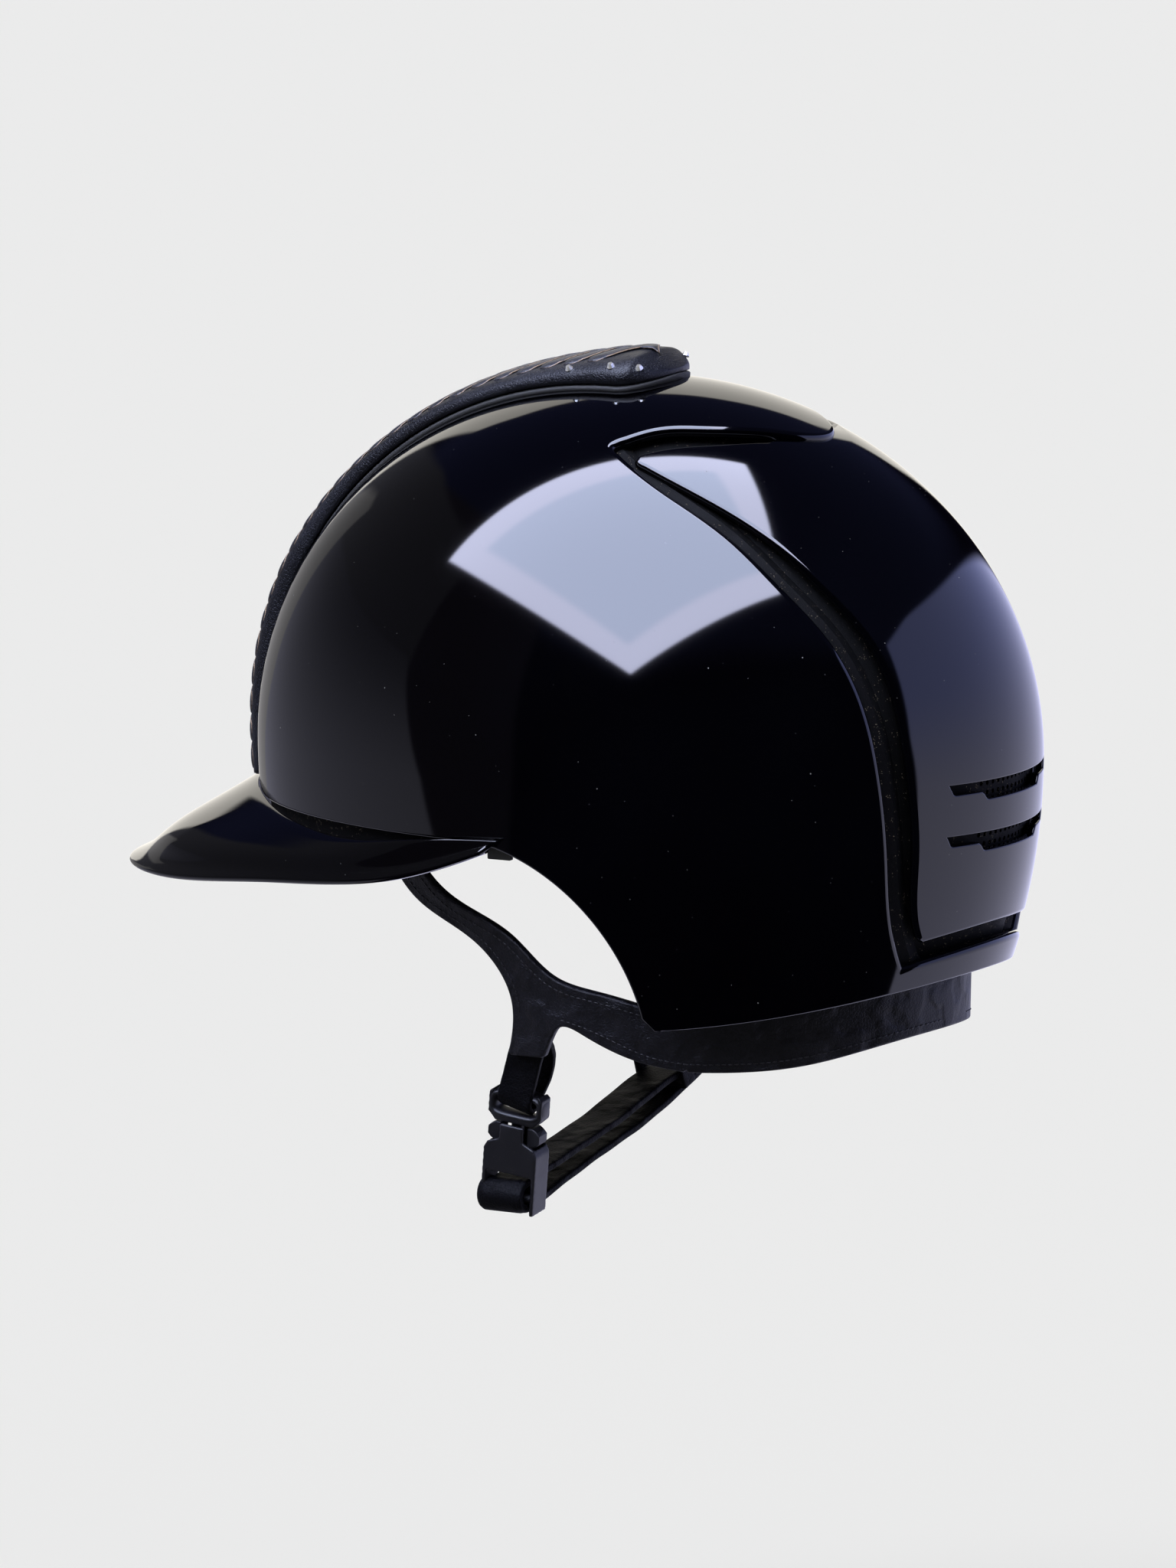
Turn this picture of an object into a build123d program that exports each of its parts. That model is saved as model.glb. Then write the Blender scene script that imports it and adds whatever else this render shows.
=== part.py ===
"""Polo riding helmet: glossy shell, peak, leather crest, harness and side-release buckle.

Millimetres. The origin is at the centre of the wearer's head at ear level. The helmet looks
towards -X, +Y is the wearer's right and +Z is up. Each sub-part is its own solid.
"""
from build123d import *
import math
import os

# Head shell, an egg of three half-axes
HALF_LENGTH = 142.3
HALF_WIDTH = 110.0
CROWN = 170.0
EQUATOR_SHARE = 0.246
LOWER_SHARE = 1.04
UNIT = 1.0
SHELL_WALL = 3.0
REACH = 260.0
FIT = 0.3

# Rear vent panel, set below the shell in a channel
PANEL_DROP = 2.0
PANEL_WALL = 2.5
CHANNEL_DEPTH = 6.2
TRAY_WALL = 1.8
TRAY_FLANGE = 6.0
PEDESTAL_EDGE = 2.0
VENT_TOP = 41.2
VENT_PITCH = 17.9
VENT_HALF_LENGTH = 37.0
VENT_NARROW = 3.3
VENT_WIDE_HALF_LENGTH = 20.0
VENT_WIDE = 6.2
VENT_RAKE = 2.6
GRILLE_WALL = 0.8
GRILLE_HOLE = 1.6
GRILLE_PITCH = 3.4
GRILLE_SINK = 5.0
GRILLE_LAP = 3.0

# Peak
PEAK_HALF_LENGTH = 173.4
PEAK_HALF_WIDTH = 112.0
PEAK_CENTRE = -20.0
PEAK_TOP_HALF_LENGTH = 143.6
PEAK_TOP_HALF_WIDTH = 110.8
PEAK_LOW = -8.0
PEAK_HIGH = 28.0
PEAK_WALL = 3.2
PEAK_WALL_FRONT = 5.2
LINING_WALL = 1.2
PEAK_GAP = 0.4
CLIP_WIDTH = 9.0
CLIP_HEIGHT = 7.0
CLIP_WALL = 2.4
INTAKE_WALL = 1.2
INTAKE_HEIGHT = 6.0

# Crest along the centre line
CREST_FRONT_HALF_WIDTH = 8.5
CREST_REAR_HALF_WIDTH = 23.5
CREST_BOW_START = 3.0
CREST_REAR_END = 20.0
CREST_START_SHARE = 1.2
CREST_BASE = 2.0
CREST_PAD = 7.8
CREST_PAD_STEP = 1.2
CREST_PILLOW_HALF_WIDTH = 62.0
CREST_ROUND = 4.2
CREST_SLOPE = 31.0
BRAID_SHARE = 0.56
BRAID_THICKNESS = 1.9
CRYSTAL_RADIUS = 2.1
CRYSTAL_HEIGHT = 1.5
CRYSTAL_SPOTS = (3.8, -6.6, -23.3)
CRYSTAL_SIDE = 15.6

# Linings
FOAM_LENGTH_WALL = 34.0
FOAM_WIDTH_WALL = 26.0
FOAM_CROWN_WALL = 28.0
FOAM_UNDER_TRAY = 8.4
PAD = 6.0
HEAD_BAND_LOW = 25.5
HEAD_BAND_HIGH = 60.0
CROWN_PAD_LOW = 92.0
AIRWAY_HALF_WIDTH = 30.0
AIRWAY_HEIGHT = 7.0
FRONT_AIRWAY_LOW = 31.0
LINER_SPLIT = 62.0
SNAP_RADIUS = 5.0
SNAP_WALL = 1.6
SNAP_HEIGHT = 78.0
SNAP_ANGLES = (0, 50, 130, 180, 230, 310)

# Leather harness, on a cone that narrows towards the chin
HARNESS_HALF_LENGTH = 118.0
HARNESS_TOP_HALF_WIDTH = 84.0
HARNESS_LOW_HALF_WIDTH = 68.0
HARNESS_TOP = 20.0
HARNESS_LOW = -80.0
HARNESS_ABOVE = 40.0
LEATHER = 2.6
ANCHOR_RADIUS = 3.5
EYELET_RADIUS = 3.4
EYELET_HOLE = 1.6
EYELET_WALL = 0.8
EYELET_SPREAD = 14.0
LEATHER_SLOT = 0.6

# Side-release buckle, in its own frame: X wide, Y deep, Z up along the strap
BUCKLE_LEAN_FORWARD = 8.0
BUCKLE_LEAN_IN = 7.5
BUCKLE_WIDTH = 20.6
BUCKLE_DEPTH = 10.4
SOCKET_TOP = 3.5
SOCKET_FLOOR = -6.9
SOCKET_WALL = 1.5
NECK_WIDTH = 9.2
NECK_TOP = 10.8
CHEEK_LOW = -20.5
STRAP_BAR_RADIUS = 1.6
STRAP_BAR_DROP = 15.3
STRAP_BAR_FORWARD = 2.0
PLUG_DEPTH = 7.0
PLUG_BASE_LOW = 11.1
PLUG_BASE_HIGH = 14.1
PLUG_TOP = 23.6
PLUG_POST = 1.8
LEG_BAR_RADIUS = 1.3
LEG_BAR_HEIGHT = 20.6
TONGUE_WIDTH = 4.0
TONGUE_LOW = -5.1
PRONG_DEPTH = 6.0
PRONG_ARM = 2.0
PRONG_INNER = 5.2
PRONG_TIP = -5.1
PRONG_TOP = 10.6
LOBE_WIDTH = 4.8
LOBE_LOW = 4.3
LOBE_HIGH = 9.6
HOOK = 0.6
HOOK_LENGTH = 2.4
BUCKLE_ROUND = 1.2
PLUG_WAIST_SHARE = 0.72
NECK_ROOT = 5.4

# Straps
LEG_WIDTH = 13.0
LEG_THICKNESS = 2.4
LEG_LOOP_RADIUS = 2.5
LEG_LENGTH = 26.0
LEG_LEAN_FORWARD = 17.0
LEG_LEAN_IN = 3.5
LEG_BULGE = 6.0
BULGE_SHARE = 0.8
RIGHT_LEG_LOW = 13.5
CHIN_SLOPE = 14.9
CHIN_WIDTH = 15.0
CHIN_THICKNESS = 2.8
CHIN_LOOP_RADIUS = 4.4
CHIN_TURN = 5.5
RIBBON_STEPS = 12
KEEPER_WALL = 1.6
KEEPER_LENGTH = 7.0
KEEPER_SPACE = 0.8

# Side-view outlines as shares of the half length (forward and back) and the crown (up)
RIM_FRONT_SHARES = ((-1.3, 0.130), (-0.09, 0.126))
EAR_SHARES = ((0.198, -0.012), (0.302, -0.225))
HEM_SHARES = ((0.328, -0.252), (0.655, -0.214), (1.3, -0.045))
FOAM_RIM_SHARES = ((-1.3, 0.150), (-0.03, 0.150), (0.26, 0.0), (0.34, -0.10), (0.62, -0.098), (1.3, -0.03))
CHANNEL_SHARES = (
    (0.076, 0.902),
    ((0.158, 0.9255), (0.267, 0.9306), (0.376, 0.925), (0.506, 0.8965)),
    ((1.3, 0.80), (1.3, 0.0)),
    (0.842, -0.128),
    ((0.839, -0.047), (0.845, 0.108), (0.840, 0.235), (0.798, 0.412), (0.717, 0.541), (0.588, 0.653),
     (0.450, 0.745), (0.267, 0.8265)),
)
PANEL_SHARES = (
    (0.148, 0.881),
    ((0.195, 0.8985), (0.316, 0.9076), (0.436, 0.9047), (0.5285, 0.884)),
    ((1.3, 0.79), (1.3, 0.03)),
    (0.868, -0.082),
    ((0.867, -0.041), (0.881, 0.104), (0.878, 0.257), (0.843, 0.418), (0.773, 0.5435), (0.668, 0.641),
     (0.529, 0.735), (0.358, 0.810)),
)
PEAK_EDGE_SHARES = ((-1.5, -0.044), (-1.03, -0.033), (-0.71, -0.004), (-0.31, 0.026), (-0.09, 0.088),
                    (-0.035, 0.112))
PEAK_BACK_SHARES = ((-0.05, 0.118), (-0.42, 0.103), (-0.74, 0.107), (-1.02, 0.119), (-1.5, 0.121))
ARM_FRONT_SHARES = ((-0.520, 0.22), (-0.485, 0.06), (-0.397, -0.035), (-0.205, -0.119),
                    (-0.118, -0.230), (-0.118, -0.272), (-0.139, -0.345))
ARM_FOOT_SHARES = (-0.036, -0.345)
ARM_REAR_SHARES = ((-0.010, -0.300), (0.011, -0.278), (0.076, -0.292), (0.235, -0.344), (0.325, -0.357))
ARM_TOP_SHARES = ((0.325, -0.246), (0.117, -0.199), (0.005, -0.1735), (-0.107, -0.095), (-0.296, -0.019),
                  (-0.390, 0.06), (-0.425, 0.22))
NAPE_LOW_SHARES = ((0.328, -0.357), (0.612, -0.336), (0.82, -0.284), (1.1, -0.25))
NAPE_TOP_SHARES = ((1.1, -0.085), (0.60, -0.125), (0.328, -0.140))
ANCHOR_SHARES = ((-0.462, 0.17), (0.42, -0.19))
ARM_SLOT_SHARES = ((-0.545, 0.05), (-0.400, 0.225))
EYELET_SHARES = ((1.0, -0.155),)
NAPE_PAD_SHARES = ((0.40, 0.14), (0.40, -0.08), (1.2, -0.02), (1.2, 0.14))

# Front-view outlines as shares of the half width (across) and the crown (up)
BUCKLE_SHARES = (-0.157, -0.532, -0.555)
CHIN_RUN_SHARES = ((0.591, -0.352), (0.576, -0.406), (0.509, -0.444), (0.345, -0.4765), (0.0, -0.539))
CHIN_TAIL_SHARES = ((-0.345, -0.6365), (0.0, -0.580), (0.345, -0.515), (0.482, -0.480))

EQUATOR = EQUATOR_SHARE * CROWN


def side_points(shares):
    """Side-view points, (along X, up), for a table of shares."""
    return [(along * HALF_LENGTH, up * CROWN) for along, up in shares]


def side_point(share):
    """One side-view point for a pair of shares."""
    return side_points([share])[0]


def front_points(shares):
    """Front-view points, (across Y, up), for a table of shares."""
    return [(across * HALF_WIDTH, up * CROWN) for across, up in shares]


def side_prism(face):
    """Solid as wide as the helmet on a side-view face."""
    return extrude(Plane.XZ * face, amount=REACH, both=True)


def plan_prism(face):
    """Solid as tall as the helmet on a face seen from above."""
    return extrude(face, amount=REACH, both=True)


def dome(inset_x, inset_y=None, inset_z=None):
    """Head-shaped solid that lies the given depths under the shell's outer surface."""
    inset_y = inset_x if inset_y is None else inset_y
    inset_z = inset_x if inset_z is None else inset_z
    ball = Rot(0, 0, 180) * Sphere(UNIT)
    halves = []
    for keep, height in ((Keep.TOP, CROWN - EQUATOR), (Keep.BOTTOM, LOWER_SHARE * CROWN)):
        half = split(ball, bisect_by=Plane.XY, keep=keep)
        halves.append(scale(half, by=(HALF_LENGTH - inset_x, HALF_WIDTH - inset_y, height - inset_z)))
    return Pos(0, 0, EQUATOR) * (halves[0] + halves[1])


def layer(outer, inner):
    """Skin between two depths under the shell's outer surface."""
    return dome(outer) - dome(inner)


def rim_face():
    """Side view of all that lies above the shell's brow, ear cut-outs and hem."""
    front, ear_start = side_points(RIM_FRONT_SHARES)
    ear_middle, ear_end = side_points(EAR_SHARES)
    hem_start, hem_middle, hem_end = side_points(HEM_SHARES)
    edges = [
        Line(front, ear_start),
        ThreePointArc(ear_start, ear_middle, ear_end),
        Line(ear_end, hem_start),
        ThreePointArc(hem_start, hem_middle, hem_end),
        Polyline(hem_end, (hem_end[0], REACH), (front[0], REACH), front),
    ]
    return make_face(Curve() + edges)


def foam_face():
    """Side view of all that lies above the foam liner's lower edge."""
    points = side_points(FOAM_RIM_SHARES)
    rear, front = points[-1], points[0]
    return make_face(Polyline(*points, (rear[0], REACH), (front[0], REACH), front))


def shifted(points, distance):
    """Points of a spline, moved square to it and to the left of its run."""
    curve = Spline(*points)
    moved = []
    for x, y in points:
        run = curve.tangent_at(Vector(x, y))
        moved.append((x - distance * run.Y, y + distance * run.X))
    return moved


def recess_face(shares, margin):
    """Side view of a rear outline that tapers to a tip near the crown, grown by a margin."""
    tip_share, top_shares, out_shares, corner_share, low_shares = shares
    tip, corner = side_points([tip_share, corner_share])
    top = shifted([tip] + side_points(top_shares), margin)
    low = shifted([corner] + side_points(low_shares) + [tip], margin)
    (out_x, out_high), (_, out_low) = side_points(out_shares)
    tip = (tip[0] - margin, tip[1])
    corner = (corner[0] - margin, corner[1] - margin)
    edges = [
        Spline(tip, *top[1:]),
        Polyline(top[-1], (out_x, out_high + margin), (out_x, out_low - margin), corner),
        Spline(corner, *low[1:-1], tip),
    ]
    return make_face(Curve() + edges)


def channel_face(margin=0.0):
    """Side view of the whole recess: the channel and the panel within it."""
    return recess_face(CHANNEL_SHARES, margin)


def panel_face(margin=0.0):
    """Side view of the vent panel."""
    return recess_face(PANEL_SHARES, margin)


def vent_cutters():
    """Two stepped slots, seen from behind and driven forwards through the panel."""
    cutters = []
    for index in range(2):
        top = VENT_TOP - index * VENT_PITCH
        half = [
            (VENT_HALF_LENGTH, top),
            (VENT_HALF_LENGTH - VENT_RAKE, top - VENT_NARROW),
            (VENT_WIDE_HALF_LENGTH + VENT_RAKE / 2, top - VENT_NARROW),
            (VENT_WIDE_HALF_LENGTH - VENT_RAKE / 2, top - VENT_WIDE),
        ]
        mirrored = [(-y, z) for y, z in reversed(half)]
        face = make_face(Polyline(*half, *mirrored, half[0]))
        cutters.append(extrude(Plane.YZ * face, amount=REACH))
    return cutters


def outer_shell():
    """Gloss shell with its brow, ear cut-outs, hem, and the recess for the panel."""
    return (layer(0, SHELL_WALL) & side_prism(rim_face())) - side_prism(channel_face())


def vent_panel():
    """Gloss rear panel with its two stepped vents."""
    skin = layer(PANEL_DROP, PANEL_DROP + PANEL_WALL) & side_prism(panel_face())
    return skin - vent_cutters()


def vent_tray():
    """Matt tray: the channel's floor, a flange under the shell and a seat for the panel."""
    reach = side_prism(channel_face(TRAY_FLANGE)) & side_prism(rim_face())
    body = layer(SHELL_WALL + FIT, CHANNEL_DEPTH + TRAY_WALL) & reach
    seat_top = PANEL_DROP + PANEL_WALL + FIT
    clear = side_prism(channel_face())
    trench = (layer(seat_top - FIT, CHANNEL_DEPTH) & clear) - side_prism(panel_face(-PEDESTAL_EDGE))
    rebate = layer(0, GRILLE_SINK + GRILLE_WALL + FIT / 2) & vent_window(GRILLE_LAP * 2 + FIT)
    return body - (layer(0, seat_top) & clear) - trench - vent_window(0) - rebate


def vent_window(margin):
    """Block of air behind the vents."""
    height = VENT_PITCH + VENT_WIDE + margin
    middle = VENT_TOP - (VENT_PITCH + VENT_WIDE) / 2
    return Pos(HALF_LENGTH, 0, middle) * Box(HALF_LENGTH, VENT_HALF_LENGTH * 2 + margin, height)


def rear_grille():
    """Perforated sheet behind the vents."""
    sheet = layer(GRILLE_SINK, GRILLE_SINK + GRILLE_WALL)
    sheet = sheet & vent_window(GRILLE_LAP * 2)
    holes = []
    columns = int(VENT_WIDE_HALF_LENGTH / GRILLE_PITCH)
    rows = int(VENT_WIDE / GRILLE_PITCH) + 1
    for vent in range(2):
        top = VENT_TOP - vent * VENT_PITCH - GRILLE_HOLE
        for row in range(rows):
            for column in range(-columns, columns + 1):
                spot = Plane.YZ * Pos(column * GRILLE_PITCH, top - row * GRILLE_PITCH / 2 - row * GRILLE_HOLE)
                holes.append(extrude(spot * Circle(GRILLE_HOLE / 2), amount=REACH))
    return sheet - holes


def peak_body(wall_front, wall_side):
    """Flared solid inside the peak's outer surface by the given walls."""
    low = Pos(PEAK_CENTRE, 0, PEAK_LOW) * Ellipse(PEAK_HALF_LENGTH - wall_front, PEAK_HALF_WIDTH - wall_side)
    top_length = PEAK_TOP_HALF_LENGTH - wall_front
    high = Pos(0, 0, PEAK_HIGH) * Ellipse(top_length, PEAK_TOP_HALF_WIDTH - wall_side)
    return loft([low.face(), high.face()], ruled=True)


def peak_face(inset=0.0):
    """Side view of the peak between its free edge and its back edge, drawn in by the inset."""
    edge = [(x, z + inset) for x, z in side_points(PEAK_EDGE_SHARES)]
    back = [(x, z - inset) for x, z in side_points(PEAK_BACK_SHARES)]
    edges = [Spline(*edge), Line(edge[-1], back[0]), Spline(*back), Line(back[-1], edge[0])]
    return make_face(Curve() + edges)


def peak():
    """Gloss peak that hugs the front of the shell."""
    body = peak_body(0, 0) - peak_body(PEAK_WALL_FRONT, PEAK_WALL)
    return (body & side_prism(peak_face())) - dome(-PEAK_GAP)


def peak_lining():
    """Leather lining under the peak."""
    wall_front = PEAK_WALL_FRONT + FIT
    wall_side = PEAK_WALL + FIT
    body = peak_body(wall_front, wall_side) - peak_body(wall_front + LINING_WALL * 2, wall_side + LINING_WALL)
    return (body & side_prism(peak_face(LINING_WALL / 2))) - dome(-PEAK_GAP)


def peak_clips():
    """Two moulded clips that tie the peak's rear ends to the shell."""
    end_x, end_z = side_point(PEAK_EDGE_SHARES[-1])
    block = Pos(end_x, 0, end_z) * Box(CLIP_WIDTH, REACH, CLIP_HEIGHT)
    return layer(SHELL_WALL + FIT, SHELL_WALL + FIT + CLIP_WALL) & block


def intake_mesh():
    """Dark strip that closes the air intake between the peak and the shell's brow."""
    front_x, front_z = side_point(RIM_FRONT_SHARES[0])
    side_x, side_z = side_point(RIM_FRONT_SHARES[1])
    strip = make_face(Polyline((front_x, front_z - INTAKE_HEIGHT), (side_x - CLIP_WIDTH, side_z - INTAKE_HEIGHT),
                               (side_x - CLIP_WIDTH, side_z + INTAKE_HEIGHT / 2),
                               (front_x, front_z + INTAKE_HEIGHT / 2), (front_x, front_z - INTAKE_HEIGHT)))
    return layer(SHELL_WALL + FIT, SHELL_WALL + FIT + INTAKE_WALL) & side_prism(strip)


def crest_plan(inset, rear_inset=None):
    """Crest outline seen from above, drawn in by the given distance."""
    rear_inset = inset if rear_inset is None else rear_inset
    rear = CREST_REAR_HALF_WIDTH - inset
    front = CREST_FRONT_HALF_WIDTH - inset * CREST_FRONT_HALF_WIDTH / CREST_REAR_HALF_WIDTH
    start = (-HALF_LENGTH * CREST_START_SHARE, front)
    edges = [
        Polyline((CREST_BOW_START, rear), start, (start[0], -front), (CREST_BOW_START, -rear)),
        ThreePointArc((CREST_BOW_START, -rear), (CREST_REAR_END - rear_inset, 0), (CREST_BOW_START, rear)),
    ]
    return make_face(Curve() + edges)


def crest_half_space():
    """Everything above the shell's brow, which ends the crest at the front."""
    return side_prism(rim_face())


def crest_base():
    """Plastic rail with a bead that the leather crest is laid on."""
    return (layer(-CREST_BASE, -FIT / 2) & plan_prism(crest_plan(0))) & crest_half_space()


def pillow(outset):
    """Slim dome that rounds the crest's section, grown by the outset."""
    rise = CREST_BASE + CREST_PAD
    return dome(-outset, HALF_WIDTH - CREST_PILLOW_HALF_WIDTH + rise - outset, -outset)


def crest_cover():
    """Padded leather cover with a rounded section and a sloping rear end."""
    top = CREST_BASE + CREST_PAD
    outline = plan_prism(crest_plan(CREST_PAD_STEP)) & crest_half_space()
    body = (pillow(top) & outline) - dome(-CREST_BASE - FIT / 2)
    crown_top = CROWN + top
    slope = math.tan(math.radians(CREST_SLOPE))
    run = CREST_REAR_END * 2
    wedge = make_face(Polyline((CREST_BOW_START, crown_top), (CREST_BOW_START + run, crown_top - run * slope),
                               (CREST_BOW_START + run, REACH), (CREST_BOW_START, REACH),
                               (CREST_BOW_START, crown_top)))
    return body - side_prism(wedge)


def crest_braid():
    """Plaited leather band along the top of the crest."""
    low = CREST_BASE + CREST_PAD + FIT / 2
    plan = crest_plan(CREST_REAR_HALF_WIDTH * (1 - BRAID_SHARE), CREST_REAR_END - CREST_BOW_START + CREST_ROUND)
    band = (pillow(low + BRAID_THICKNESS) - pillow(low)) & plan_prism(plan)
    return band & crest_half_space()


def crest_crystals():
    """Small cut stones set in a row on each side of the braid."""
    low = CREST_BASE + CREST_PAD + FIT
    length, width, height = HALF_LENGTH + low, CREST_PILLOW_HALF_WIDTH + FIT, CROWN - EQUATOR + low
    stones = []
    for along in CRYSTAL_SPOTS:
        up = height * math.sqrt(1 - (along / length) ** 2 - (CRYSTAL_SIDE / width) ** 2)
        for across in (-CRYSTAL_SIDE, CRYSTAL_SIDE):
            normal = (along / length ** 2, across / width ** 2, up / height ** 2)
            seat = Plane(origin=(along, across, EQUATOR + up), z_dir=normal)
            stone = Cone(CRYSTAL_RADIUS, CRYSTAL_RADIUS / 2, CRYSTAL_HEIGHT)
            stones.append(seat.location * Pos(0, 0, CRYSTAL_HEIGHT / 2) * stone)
    return Compound(children=stones)


def foam_block():
    """Foam of both liners, with a pocket for the tray, airways and slots for the harness."""
    inner = dome(FOAM_LENGTH_WALL, FOAM_WIDTH_WALL, FOAM_CROWN_WALL)
    pocket = layer(SHELL_WALL, FOAM_UNDER_TRAY) & side_prism(channel_face(TRAY_FLANGE + FIT))
    body = dome(SHELL_WALL + FIT) - inner - pocket
    body = body & side_prism(foam_face())
    reach = HALF_LENGTH
    rear_low = VENT_TOP - VENT_PITCH - VENT_WIDE
    for low, side in ((FRONT_AIRWAY_LOW, -1), (rear_low, 1), (rear_low + VENT_PITCH, 1)):
        airway = Box(reach, AIRWAY_HALF_WIDTH * 2, AIRWAY_HEIGHT)
        body = body - Pos(side * reach, 0, low + AIRWAY_HEIGHT / 2) * airway
    slot = cone(LEATHER_SLOT) - cone(-LEATHER - LEATHER_SLOT)
    slot_low, slot_high = side_points(ARM_SLOT_SHARES)
    arms = side_prism(make_face(Polyline(slot_low, (slot_high[0], slot_low[1]), slot_high,
                                         (slot_low[0], slot_high[1]), slot_low)))
    holes = [anchor_pin(place, side, ANCHOR_RADIUS + FIT) for place in anchor_places()[:1] for side in (-1, 1)]
    return body - (slot & arms) - holes


def height_slab(low, high):
    """Slab of space between two heights."""
    return Pos(0, 0, (low + high) / 2) * Box(REACH * 2, REACH * 2, high - low)


def shock_liner():
    """Lower foam liner, round the head."""
    return foam_block() & height_slab(-REACH, LINER_SPLIT)


def crown_liner():
    """Upper foam liner, over the head."""
    return foam_block() & height_slab(LINER_SPLIT + FIT, REACH)


def pad_ring(low, high):
    """Ring of padding inside the foam between two heights."""
    outer = dome(FOAM_LENGTH_WALL + FIT, FOAM_WIDTH_WALL + FIT, FOAM_CROWN_WALL + FIT)
    inner = dome(FOAM_LENGTH_WALL + PAD, FOAM_WIDTH_WALL + PAD, FOAM_CROWN_WALL + PAD)
    return (outer - inner) & height_slab(low, high)


def head_band():
    """Leather-faced sweatband round the inside of the brow."""
    return pad_ring(HEAD_BAND_LOW, HEAD_BAND_HIGH)


def crown_pad():
    """Soft pad under the crown."""
    return pad_ring(CROWN_PAD_LOW, CROWN)


def nape_pad():
    """Soft pad on the lower rear of the foam."""
    face = make_face(Polyline(*side_points(NAPE_PAD_SHARES), side_point(NAPE_PAD_SHARES[0])))
    return pad_ring(-HALF_WIDTH, HEAD_BAND_LOW - FIT * 2) & side_prism(face)


def liner_snaps():
    """Press studs that hold the head band's lining to the foam."""
    snaps = []
    skin = layer_of_foam(SNAP_WALL)
    for angle in SNAP_ANGLES:
        turn = Rot(0, 0, angle)
        rod = turn * Pos(0, 0, SNAP_HEIGHT) * Rot(0, 90, 0) * Pos(0, 0, HALF_LENGTH / 2)
        snaps.append(skin & rod * Cylinder(SNAP_RADIUS, HALF_LENGTH))
    return Compound(children=[solid for snap in snaps for solid in snap.solids()])


def layer_of_foam(depth):
    """Skin on the inside of the foam liner."""
    outer = dome(FOAM_LENGTH_WALL + FIT, FOAM_WIDTH_WALL + FIT, FOAM_CROWN_WALL + FIT)
    return outer - dome(FOAM_LENGTH_WALL + depth, FOAM_WIDTH_WALL + depth, FOAM_CROWN_WALL + depth)


def cone(outset):
    """Elliptic cone that the harness lies on, grown by the outset."""
    faces = []
    fall = (HARNESS_TOP_HALF_WIDTH - HARNESS_LOW_HALF_WIDTH) / (HARNESS_TOP - HARNESS_LOW)
    for height in (HARNESS_LOW, HARNESS_TOP + HARNESS_ABOVE):
        width = HARNESS_LOW_HALF_WIDTH + (height - HARNESS_LOW) * fall
        ring = Pos(0, 0, height) * Ellipse(HARNESS_HALF_LENGTH + outset, width + outset)
        faces.append(ring.face())
    return loft(faces, ruled=True)


def arm_face():
    """Side view of one leather piece: front arm, rear arm and the foot they meet in."""
    front = side_points(ARM_FRONT_SHARES)
    rear = side_points(ARM_REAR_SHARES)
    top = side_points(ARM_TOP_SHARES)
    foot = side_point(ARM_FOOT_SHARES)
    edges = [
        Spline(*front),
        Line(front[-1], foot),
        Spline(foot, *rear),
        Line(rear[-1], top[0]),
        Spline(*top),
        Line(top[-1], front[0]),
    ]
    return make_face(Curve() + edges)


def half_prism(face, side):
    """Prism on a side-view face, on one side of the helmet only."""
    return extrude(Plane.XZ * face, amount=-side * REACH)


def harness(side):
    """Leather harness piece on one side."""
    return (cone(0) - cone(-LEATHER)) & half_prism(arm_face(), side)


def nape_band():
    """Padded leather band round the back of the neck."""
    low = side_points(NAPE_LOW_SHARES)
    top = side_points(NAPE_TOP_SHARES)
    start = (low[0][0] + FIT, low[0][1])
    finish = (top[-1][0] + FIT, top[-1][1])
    edges = [Spline(start, *low[1:]), Line(low[-1], top[0]), Spline(*top[:-1], finish), Line(finish, start)]
    return (cone(0) - cone(-LEATHER)) & side_prism(make_face(Curve() + edges))


def anchor_places():
    """Side-view places of the rivets: the front arms and the ends of the nape band."""
    return side_points(ANCHOR_SHARES)


def anchor_pin(place, side, radius):
    """Pin through the leather at a side-view place, out to the shell."""
    along, up = place
    rod = extrude(Plane.XZ * Pos(along, up) * Circle(radius), amount=-side * REACH)
    return rod & (dome(SHELL_WALL + FIT) - cone(FIT / 2))


def harness_anchors():
    """Rivets that tie the harness and the nape band to the shell."""
    pins = []
    for place in anchor_places():
        for side in (-1, 1):
            pins += anchor_pin(place, side, ANCHOR_RADIUS).solids()
    return Compound(children=pins)


def nape_eyelets():
    """Two small rimmed eyelets at the top of the nape band."""
    rings = []
    for side in (-1, 1):
        for point in side_points(EYELET_SHARES):
            rod = extrude(Plane.YZ * Pos(side * EYELET_SPREAD, point[1]) * Circle(EYELET_RADIUS), amount=REACH)
            hole = extrude(Plane.YZ * Pos(side * EYELET_SPREAD, point[1]) * Circle(EYELET_HOLE), amount=REACH)
            rings += ((cone(FIT / 2 + EYELET_WALL) - cone(FIT / 2)) & (rod - hole)).solids()
    return Compound(children=rings)


def buckle_frame():
    """Place and lean of the buckle."""
    along, across, up = BUCKLE_SHARES
    spot = Pos(along * HALF_LENGTH, across * HALF_WIDTH, up * CROWN)
    return spot * Rot(0, BUCKLE_LEAN_FORWARD, 0) * Rot(BUCKLE_LEAN_IN, 0, 0)


def block(low_x, high_x, depth, low_z, high_z):
    """Box between two widths and two heights, centred in depth."""
    box = Box(high_x - low_x, depth, high_z - low_z)
    return Pos((low_x + high_x) / 2, 0, (low_z + high_z) / 2) * box


def front_prism(points, depth):
    """Prism on a front-view polygon of the buckle, centred in depth."""
    return extrude(Plane.XZ * make_face(Polyline(*points, points[0])), amount=depth / 2, both=True)


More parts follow.
